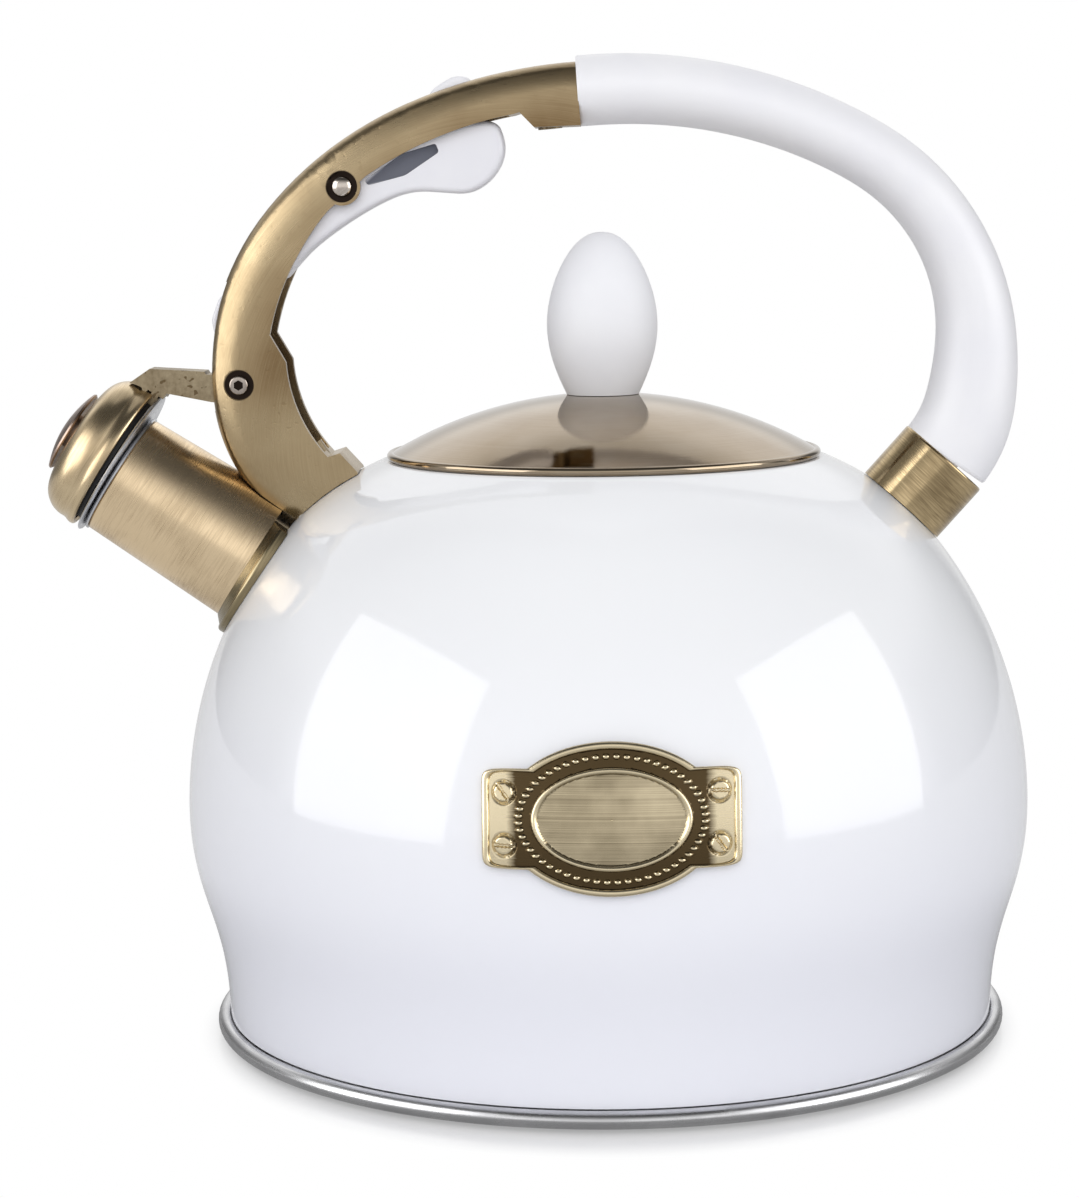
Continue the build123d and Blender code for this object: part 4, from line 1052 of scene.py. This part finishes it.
@dataclass
class ArmCasting:
    """Brass handle arm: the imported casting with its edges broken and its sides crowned.

    Sizes are millimetres. The outer edge runs along three tangent arcs, given by centre and radius, which
    begin at turns in degrees. Depths are measured in from it, and runs along it from the grip.
    """

    arcs: tuple[tuple[Point2, float], ...] = (
        ((-0.37, 129.21), 96.7),
        ((-37.24, 150.76), 54.0),
        ((-51.02, 152.55), 40.1),
    )
    turns: Point3 = (93.1, 149.7, 172.6)
    swell: float = 3.25
    swell_run: Point3 = (5.0, 82.0, 127.0)
    swell_depth: float = 9.0
    rivet_clear: Point2 = (3.9, 6.0)
    rim_inside: float = 3.3
    skin: float = 0.3
    round_r: float = 6.4
    half_width: float = 9.0
    inner_half: float = 6.7
    crown: float = 1.5
    crown_depth: float = 15.0
    # Limits of the arm's darkening, by depth in from the outer edge and by run: real patina with painted
    # shade.
    patina_and_shade_depth: Point2 = (5.0, 14.0)
    patina_and_shade_run: Point2 = (118.0, 142.0)
    weld: float = 2e-6
    flat: float = 0.3
    crease: float = 40.0
    edge: float = 0.25
    cell: float = 2.0

    def track(self, x: Array, z: Array) -> Array:
        """Follow the outer edge.

        Args:
            x: Places along X.
            z: Places along Z.

        Returns:
            Four rows: the run along the edge from the grip, the depth, and the way out in X and in Z.
        """
        rows, begun = [], 0.0
        ways = [np.degrees(np.arctan2(z - c[1], x - c[0])) % 360 for c, _ in self.arcs]
        for spot, ((cx, cz), radius) in enumerate(self.arcs):
            reach = np.hypot(x - cx, z - cz)
            run = begun + radius * np.radians(ways[spot] - self.turns[spot])
            rows.append(np.stack((run, radius - reach, (x - cx) / reach, (z - cz) / reach)))
            if spot + 1 < len(self.arcs):
                begun += radius * math.radians(self.turns[spot + 1] - self.turns[spot])
        lower = np.where(ways[1] < self.turns[2], rows[1], rows[2])
        return np.where(ways[0] < self.turns[1], rows[0], lower)

    def side(self, deep: Array) -> Array:
        """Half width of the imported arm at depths, where its back is rounded."""
        left = np.clip(1 - deep / self.round_r, 0, 1)
        return self.half_width - self.round_r * (1 - np.sqrt(1 - left**2))

    def drawn_in(self, half: Array, deep: Array) -> Array:
        """Half width with the crown, which draws the sides in towards the outer edge but not the channel."""
        share = np.clip((half - self.inner_half) / (self.half_width - self.inner_half), 0, 1)
        return half - self.crown * (1 - np.clip(deep / self.crown_depth, 0, 1)) ** 2 * share

    def swollen(self, points: Array) -> Array:
        """Crown the sides and let the outer edge swell between its ends, as the photograph's does.

        Round the rivet points stay where they are in XZ, so that its sink stays round, and take the width of
        the swollen side there.

        Args:
            points: Places in millimetres.

        Returns:
            The moved places.
        """
        x, y, z = points.T
        run, deep, out_x, out_z = self.track(x, z)
        begin, peak, end = self.swell_run
        rise = np.where(run < peak, (run - begin) / (peak - begin), (end - run) / (end - peak))
        edge = self.swell * (0.5 - 0.5 * np.cos(np.pi * np.clip(rise, 0, 1)))
        away = np.hypot(x - TRIGGER_PIVOT[0], z - TRIGGER_PIVOT[1])
        clear = np.interp(away, self.rivet_clear, (0, 1))
        shift = edge * np.clip(1 - deep / self.swell_depth, 0, 1) * clear
        drawn = (deep - shift + edge) / (1 + edge / self.swell_depth)
        drawn = np.where(deep < self.swell_depth, drawn, deep)
        wider = self.drawn_in(self.side(drawn), drawn) - self.drawn_in(self.side(deep), deep)
        on_skin = (np.abs(y) > self.side(deep) - self.skin) & (away > self.rim_inside)
        half = self.drawn_in(np.abs(y), deep) + np.where(on_skin, wider, 0.0)
        return np.stack((x + out_x * shift, np.sign(y) * half, z + out_z * shift), -1)

    def celled(self, node: Thing) -> bpy.types.Mesh:
        """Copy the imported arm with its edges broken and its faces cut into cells.

        Args:
            node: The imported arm.

        Returns:
            The new mesh.
        """
        work = bmesh.new()
        work.from_mesh(node.data)
        bmesh.ops.remove_doubles(work, verts=work.verts, dist=self.weld)
        flat, crease = math.radians(self.flat), math.radians(self.crease)
        bmesh.ops.dissolve_limit(work, angle_limit=flat, verts=work.verts, edges=work.edges)
        sharp = [e for e in work.edges if e.is_manifold and e.calc_face_angle() > crease]
        width = self.edge * MM
        bmesh.ops.bevel(
            work, geom=sharp, offset=width, segments=2, profile=0.5, affect="EDGES", clamp_overlap=True
        )
        for axis in (0, 2):
            ends = [v.co[axis] for v in work.verts]
            normal = tuple(float(axis == k) for k in range(3))
            for at in np.arange(min(ends) + self.cell * MM / 2, max(ends), self.cell * MM):
                everything = work.verts[:] + work.edges[:] + work.faces[:]
                place = tuple(at * n for n in normal)
                bmesh.ops.bisect_plane(work, geom=everything, plane_co=place, plane_no=normal, dist=WELD)
        mesh = bpy.data.meshes.new("arm_casting")
        work.to_mesh(mesh)
        work.free()
        return mesh

    def build(self, node: Thing) -> None:
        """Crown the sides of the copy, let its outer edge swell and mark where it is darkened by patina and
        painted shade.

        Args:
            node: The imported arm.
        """
        mesh = self.celled(node)
        points = np.empty(len(mesh.vertices) * 3)
        mesh.vertices.foreach_get("co", points)
        points = points.reshape(-1, 3) / MM
        mesh.vertices.foreach_set("co", self.swollen(points).ravel() * MM)
        run, deep = self.track(points[:, 0], points[:, 2])[:2]
        # Darker deeper in from the outer edge and fading out along the run: real patina with painted shade.
        dark = np.interp(deep, self.patina_and_shade_depth, (0, 1)) * np.interp(run, self.patina_and_shade_run, (1, 0))
        mark(mesh, "patina_and_shade", dark)
        old = mesh.attributes.get("custom_normal")
        if old:
            mesh.attributes.remove(old)
        mesh.materials.clear()
        smoothed(mesh, SMOOTH)
        arm = placed("arm_casting", mesh)
        arm.modifiers.new("even", "WEIGHTED_NORMAL").keep_sharp = True
        settle(arm, "kettle", ARM_BRASS, "handle_arm")


@dataclass
class CapShell:
    """Spun brass dome of the spout's cap, with a rolled lip and a notch for the lever.

    Places on the section are millimetres from the cap's axis and along it.
    """

    section: Outline = (
        (1.8, 12.75), (8.9, 12.75), (12.3, 12.45), (15.3, 11.2), (17.3, 8.9), (18.05, 6.4), (17.9, 4.7),
        (18.5, 3.5), (18.45, 2.3), (17.6, 1.95), (17.15, 2.6), (17.2, 3.6), (16.95, 4.8), (17.1, 6.2),
        (16.4, 8.4), (14.7, 10.3), (11.9, 11.55), (8.8, 11.85), (1.8, 11.85),
    )
    segments: int = 160
    notch: Outline = ((12.0, 1.0), (22.0, 1.0), (22.0, 3.9), (12.0, 3.9))
    notch_half: float = 4.3
    notch_round: float = 0.1

    def build(self) -> None:
        """Turn the section round the cap's axis and cut the notch above it."""
        spindle = Brush.CAP.value
        dome = spindle.lathe(softened(self.section, 3), self.segments, True).piece("cap_shell", SMOOTH)
        along = np.array(spindle.along)[[0, 2]]
        upward = np.array((along[1], -along[0]))
        away, deep = np.array(self.notch).T[..., None]
        outline = np.array(spindle.origin)[[0, 2]] + away * upward + deep * along
        combine(dome, Join.CUT, slab(outline, self.notch_half, self.notch_round, 3))
        settle(dome, "spout_cap", CAP_BRASS, "cap_dome")


@dataclass
class PivotHeads:
    """The trigger's rivet with two domed heads, and the lever's socket screw, both along Y.

    Sizes are millimetres. Both kinds of head sit at seat, and the screw's shank ends at screw_end.
    """

    shank_r: float = 1.98
    seat: float = 8.0
    rivet_r: float = 2.35
    rivet_h: float = 1.25
    screw_r: float = 2.2
    screw_h: float = 1.1
    screw_round: float = 0.45
    screw_end: float = 9.0
    socket_r: float = 1.2
    socket_depth: float = 0.9
    segments: int = 64

    def build(self) -> None:
        """Turn both profiles round Y and cut the six-sided socket."""
        a = np.radians(np.linspace(0, 90, 14))
        dome = np.stack((self.rivet_r * np.cos(a), self.seat + self.rivet_h * np.sin(a)), -1)
        half = np.vstack(([(self.shank_r, 0.0), (self.shank_r, self.seat), (self.rivet_r, self.seat)], dome))
        profile = np.vstack(((half * (1, -1))[::-1], half[1:]))
        rivet = across(TRIGGER_PIVOT).lathe(profile, self.segments).piece("trigger_rivet")
        settle(rivet, "kettle", BRIGHT_STEEL, "trigger_pin")
        axis, top, soft = across(LEVER_PIVOT), -self.seat - self.screw_h, self.screw_round
        edge = arc((self.screw_r - soft, -top - soft), soft, 0, 90, 6) * (1, -1)
        shank = [(self.shank_r, -self.seat), (self.shank_r, self.screw_end), (0.0, self.screw_end)]
        profile = np.vstack(([(0.0, top)], edge[::-1], [(self.screw_r, -self.seat)], shank))
        screw = axis.lathe(profile, self.segments).piece("socket_screw")
        high, low = top - 1, top + self.socket_depth
        socket = np.array([(0.0, high), (self.socket_r, high), (self.socket_r, low), (0.0, low)])
        combine(screw, Join.CUT, axis.lathe(socket, 6))
        settle(screw, "kettle", SCREW_STEEL, "lever_screw")


@dataclass
class PivotSpring:
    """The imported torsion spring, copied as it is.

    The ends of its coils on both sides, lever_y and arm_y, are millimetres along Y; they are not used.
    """

    lever_y: float = 2.4
    arm_y: float = 5.2

    def build(self, node: Thing) -> None:
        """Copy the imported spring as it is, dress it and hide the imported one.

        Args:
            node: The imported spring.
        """
        mesh = node.data.copy()
        mesh.materials.clear()
        spring = placed("pivot_spring", mesh)
        BRIGHT_STEEL.dress(spring)
        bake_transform(spring)
        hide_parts("cap_spring")


def ridge(away: Array, half: float) -> Array:
    """Height of a rounded ridge, 1 on its line and 0 from its half width on."""
    return np.sqrt(np.clip(1 - (away / half) ** 2, 0, 1))


@dataclass
class NamePlate:
    """Cast plate on the front: two ears and an oval, raised borders, four slotted studs and a beaded band.

    The plate is a height over the vessel's wall. Round its centre the outline's reach in each direction is
    the larger of that of the rounded rectangle, ear, and that of the ellipse, oval. Sizes are millimetres,
    and pairs up to band are half widths and half heights. rings are two ranges of shares of the reach.
    """

    centre: Point2 = (0.9, 68.6)
    ear: Point2 = (26.5, 10.15)
    oval: Point2 = (22.5, 15.6)
    ring: Point2 = (15.75, 9.75)
    band: Point2 = (18.9, 12.55)
    corner: float = 14.0
    base: float = 1.3
    rim: float = 0.8
    border: Point2 = (0.85, 0.8)
    ring_half: float = 0.7
    sink: Point2 = (0.25, 0.8)
    beads: int = 56
    bead_run: float = 16.0
    bead_across: float = 15.0
    bead: Point2 = (0.62, 0.55)
    bead_inside: float = 1.6
    studs: Point2 = (21.9, 5.3)
    stud_r: float = 2.05
    stud_rise: float = 0.85
    stud_round: float = 0.35
    slot_turn: Point2 = (62.0, 25.0)
    slot: Point2 = (0.28, 0.25)
    moat: Point3 = (0.25, 0.3, 0.3)
    ear_shine: Point3 = (0.85, 19.0, 3.0)
    field_shine: Point2 = (0.42, 0.97)
    proud_share: float = 0.8
    edge_share: float = 0.8
    clear: float = 0.03
    rings: tuple[tuple[float, float, int], ...] = ((0.0, 0.9, 96), (0.905, 1.0, 30))
    segments: int = 640
    sharp: float = 40.0

    def reach(self, a: Array) -> Array:
        """Distance of the outline from the centre, the larger of the ellipse's and the box's.

        Args:
            a: Angles in radians.

        Returns:
            Distances in millimetres.
        """
        c, s = np.abs(np.cos(a)), np.abs(np.sin(a))
        ellipse = 1 / np.hypot(c / self.oval[0], s / self.oval[1])
        box = 1 / ((c / self.ear[0]) ** self.corner + (s / self.ear[1]) ** self.corner) ** (1 / self.corner)
        return np.maximum(ellipse, box)

    def height(self, u: Array, v: Array, inner: Array) -> Array:
        """Height over the wall: ridges on the borders, beads on the band, and four studs, each in a moat.

        Args:
            u: Places across the plate.
            v: Places up the plate.
            inner: Distance in from the outline.

        Returns:
            Heights in millimetres.
        """
        h = np.full(u.shape, self.base) + self.rim * ridge(inner - self.border[0], self.border[1])
        q = np.hypot(u / self.ring[0], v / self.ring[1])
        away = (q - 1) * np.hypot(u, v) / np.maximum(q, 1e-6)
        h = np.maximum(h, self.base + self.rim * ridge(away, self.ring_half))
        h -= self.sink[0] * np.clip(-away / self.sink[1], 0, 1)
        bu, bv = u / self.band[0], v / self.band[1]
        along = (np.arctan2(bv, bu) / (2 * np.pi) * self.beads) % 1.0 - 0.5
        along *= 2 * np.pi * self.bead_run / self.beads
        radius, rise = self.bead
        dot = ridge(np.hypot(along, (np.hypot(bu, bv) - 1) * self.bead_across), radius)
        h = np.where(inner > self.bead_inside, np.maximum(h, self.base + rise * dot), h)
        middle, swing = self.slot_turn
        half, floor = self.slot
        out, wide, deep = self.moat
        for sx, sy in ((-1, -1), (-1, 1), (1, -1), (1, 1)):
            du, dv = u - sx * self.studs[0], v - sy * self.studs[1]
            far = np.hypot(du, dv)
            head = self.base + self.stud_rise * np.clip((self.stud_r - far) / self.stud_round, 0, 1) ** 0.5
            turn = math.radians(middle + swing * sx * sy)
            in_slot = np.abs(du * math.cos(turn) + dv * math.sin(turn)) < half
            head = np.where(in_slot, self.base + floor, head)
            moat = deep * np.clip(1 - np.abs(far - self.stud_r - out) / wide, 0, 1)
            h = np.where(far < self.stud_r, head, h - moat)
        return h

    def build(self, vessel: Vessel) -> None:
        """Lay the height over the wall in rings from the centre to the outline, then a skirt to the wall.

        Args:
            vessel: The body that carries the plate.
        """
        a = np.linspace(0, 2 * np.pi, self.segments, endpoint=False)
        reach = self.reach(a)
        inner, outer = (np.linspace(*ends) for ends in self.rings)
        s = np.r_[inner, outer]
        rho = s[:, None] * reach[None]
        u, v = rho * np.cos(a), rho * np.sin(a)
        h = self.height(u, v, reach[None] - rho)
        h[-1] = 0.0
        h[-2] = np.minimum(h[-2], self.base * self.edge_share)
        x, z = self.centre[0] + u, self.centre[1] + v
        r = vessel.radius_at(z)
        y = -np.sqrt(np.maximum(r**2 - x**2, 0.0))
        step = 0.2
        lean = (vessel.radius_at(z + step) - vessel.radius_at(z - step)) / (2 * step)
        n = np.stack((x / r, y / r, -lean), -1)
        n /= np.linalg.norm(n, axis=-1)[..., None]
        points = np.stack((x, y, z), -1) + (h + self.clear)[..., None] * n
        surface = Surface(points.reshape(-1, 3) * MM, lattice(len(s), len(a)))
        bright, begin, width = self.ear_shine
        ears = bright * np.clip((np.abs(u) - begin) / width, 0, 1)
        bright, share = self.field_shine
        inside = bright * (np.hypot(u / self.ring[0], v / self.ring[1]) < share)
        proud = np.clip((h - self.base) / (self.proud_share * self.rim), 0, 1)
        surface.raised = np.maximum(proud, np.maximum(ears, inside)).ravel()
        settle(surface.piece("name_plate_blank", self.sharp), "kettle", PLATE_BRASS, "name_plate")


# Studio


class Shows(Enum):
    """Which surfaces take a lamp's light."""

    MATT = "diffuse"
    GLOSSY = "glossy"


@dataclass(frozen=True)
class SoftBox:
    """A rectangular lamp that faces the kettle.

    azimuth is degrees from the camera's side to the right, height degrees above the horizon, and a glow of 1
    is white.
    """

    name: str
    azimuth: float
    height: float
    away: float
    size: Point2
    glow: float
    shows: Shows
    aim: Point3 = (0.0, 0.0, 0.1)

    def build(self) -> None:
        """Place the lamp."""
        a, e = math.radians(self.azimuth), math.radians(self.height)
        back = Vector((math.sin(a) * math.cos(e), -math.cos(a) * math.cos(e), math.sin(e)))
        data = bpy.data.lights.new(self.name, "AREA")
        data.shape = "RECTANGLE"
        data.size, data.size_y = self.size
        data.energy = self.glow * math.pi * self.size[0] * self.size[1]
        light = placed(self.name, data)
        light.location = Vector(self.aim) + back * self.away
        light.rotation_mode = "QUATERNION"
        light.rotation_quaternion = (-back).to_track_quat("-Z", "Y")
        light.visible_diffuse = self.shows is Shows.MATT
        light.visible_glossy = self.shows is Shows.GLOSSY


@dataclass
class Studio:
    """Floor, lights, world and camera.

    Names in _z, _turn and _edge are limits between which the light changes: heights, turns round the kettle
    and distances on the floor.
    """

    eye: Point3 = (0.0, -0.6907, 0.1966)
    pitch: float = 7.883
    yaw: float = 1.285
    roll: float = 0.780
    lens: float = 88.70
    sensor: float = 36.0
    lamps: tuple[SoftBox, ...] = (
        SoftBox("box_left", -65.0, 16.0, 1.25, (1.15, 1.05), 2.3, Shows.GLOSSY),
        SoftBox("box_right", 67.0, 16.0, 1.25, (1.05, 1.0), 2.3, Shows.GLOSSY),
        SoftBox("front_fill", 0.0, 28.0, 2.2, (2.2, 1.6), 1.65, Shows.MATT),
    )
    sky: float = 0.96
    sky_drop: float = 0.36
    near: Point2 = (1.12, 0.07)
    near_z: Point2 = (0.2, 0.85)
    far: Point2 = (0.85, 0.35)
    far_z: Point2 = (0.6, 0.97)
    far_lift: float = 0.5
    lift_z: Point2 = (0.22, 0.4)
    corner_drop: float = 0.8
    corner_turn: Point2 = (-0.975, -0.87)
    corner_end: Point2 = (-0.25, 0.0)
    corner_z: Point2 = (0.25, 0.5)
    behind_turn: Point2 = (-0.95, -0.4)
    floor_half: float = 4.0
    floor_colour: Colour = (0.86, 0.86, 0.87)
    floor_rough: float = 0.18
    # The floor's glow in reflections rises over this distance from the centre; the dimmer glow near the
    # kettle is a painted shadow.
    mirror_edge: Point2 = (0.11, 0.2)
    mirrored: Point2 = (0.30, 0.65)
    shadow_edge: Point2 = (0.0885, 0.0985)
    shadow_ahead: float = 0.91
    shadow_least: float = 0.3
    glossy_white: float = 0.9

    def camera(self) -> None:
        """Place the camera as the photograph's: turned left by yaw, down by pitch and rolled."""
        p, w, r = (math.radians(v) for v in (self.pitch, self.yaw, self.roll))
        ahead = Vector((-math.sin(w) * math.cos(p), math.cos(w) * math.cos(p), -math.sin(p)))
        right = ahead.cross(Vector((0, 0, 1))).normalized()
        up = right.cross(ahead)
        up, right = up * math.cos(r) + right * math.sin(r), right * math.cos(r) - up * math.sin(r)
        data = bpy.data.cameras.new("camera")
        data.lens, data.sensor_width = self.lens, self.sensor
        cam = placed("camera", data)
        cam.rotation_mode = "QUATERNION"
        cam.location = self.eye
        cam.rotation_quaternion = Matrix((right, up, -ahead)).transposed().to_quaternion()
        bpy.context.scene.camera = cam

    def world(self) -> None:
        """White to the camera, even light for matt surfaces, and a studio for mirrored rays.

        The mirrored studio is bright near the horizon and dark overhead. Behind the kettle the bright part
        reaches higher, and low down at the back's two sides it is dim.
        """
        world = bpy.data.worlds.new("studio")
        bpy.context.scene.world = world
        world.use_nodes = True
        graph = Graph(world.node_tree)
        x, y, z = graph.axes(graph.node("TexCoord", out="Generated"))
        ahead = y / (x * x + y * y).root().most(0.001) * -1.0
        near = z.ramp(*self.near_z, *self.near)
        far = z.ramp(*self.far_z, *self.far) * (1.0 + z.ramp(*self.lift_z) * self.far_lift)
        corner = ahead.ramp(*self.corner_turn) * ahead.ramp(*self.corner_end, 1.0, 0.0)
        corner = corner * z.ramp(*self.corner_z, 1.0, 0.0)
        behind = ahead.ramp(*self.behind_turn, 1.0, 0.0)
        mirrored = (near + behind * (far - near)) * (1.0 - corner * self.corner_drop)
        matt = self.sky - z.most(0.0) * self.sky_drop
        strength = (graph.ray("Is Glossy Ray") * (mirrored - matt) + matt).most(graph.ray("Is Camera Ray"))
        glow = graph.node("Background", {"Color": (1, 1, 1, 1), "Strength": strength})
        graph.node("OutputWorld", {"Surface": glow})

    def floor(self) -> None:
        """White floor for the camera, with the kettle's shadow and mirror image left on it close by, and a
        painted shadow near the kettle in reflections.
        """
        mesh = bpy.data.meshes.new("floor")
        half = self.floor_half
        corners = [(x * half, y * half, 0.0) for x, y in ((-1, -1), (1, -1), (1, 1), (-1, 1))]
        mesh.from_pydata(corners, [], [range(4)])
        material = bpy.data.materials.new("floor")
        material.use_nodes = True
        mesh.materials.append(material)
        graph = Graph(material.node_tree)
        where = graph.place()
        # Glow for reflected rays, dimmer near the kettle: a painted shadow.
        mirrored = graph.vector("LENGTH", where, out=1).ramp(*self.mirror_edge, *self.mirrored)
        drawn = graph.vector("MULTIPLY", where, (1.0, self.shadow_ahead, 1.0))
        fade = graph.vector("LENGTH", drawn, out=1).ramp(*self.shadow_edge, self.shadow_least, 1.0)
        finish = {"Base Color": (*self.floor_colour, 1), "Roughness": self.floor_rough}
        lit = graph.node("BsdfPrincipled", finish)
        camera = graph.ray("Is Camera Ray")
        strength = camera * (1.0 - mirrored) + mirrored
        glow = graph.node("Emission", {"Color": (1, 1, 1, 1), "Strength": strength})
        share = (camera * fade).most(graph.ray("Is Glossy Ray") * self.glossy_white)
        both = graph.node("MixShader", {0: share, 1: lit, 2: glow})
        graph.node("OutputMaterial", {"Surface": both})
        placed("floor", mesh)

    def build(self) -> None:
        """Set up the whole studio."""
        bpy.context.scene.view_settings.view_transform = "Standard"
        self.camera()
        self.world()
        self.floor()
        for lamp in self.lamps:
            lamp.build()


def main() -> None:
    """Build every piece in order."""
    logging.basicConfig(level=logging.INFO, format="%(name)s: %(message)s")
    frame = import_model()
    nodes = frame["nodes"]
    Studio().build()
    for finish, names in CAD_FINISHES.items():
        for name in names:
            finish.dress(nodes[name])
            LOG.info("%s keeps its solid, finish %s", name, finish.name)
    vessel = Vessel()
    vessel.build()
    Grip().build()
    Trigger().build()
    PivotHeads().build()
    PivotSpring().build(nodes["cap_spring"])
    CapShell().build()
    ArmCasting().build(nodes["handle_arm"])
    Knob().build()
    NamePlate().build(vessel)


if __name__ == "__main__":
    main()
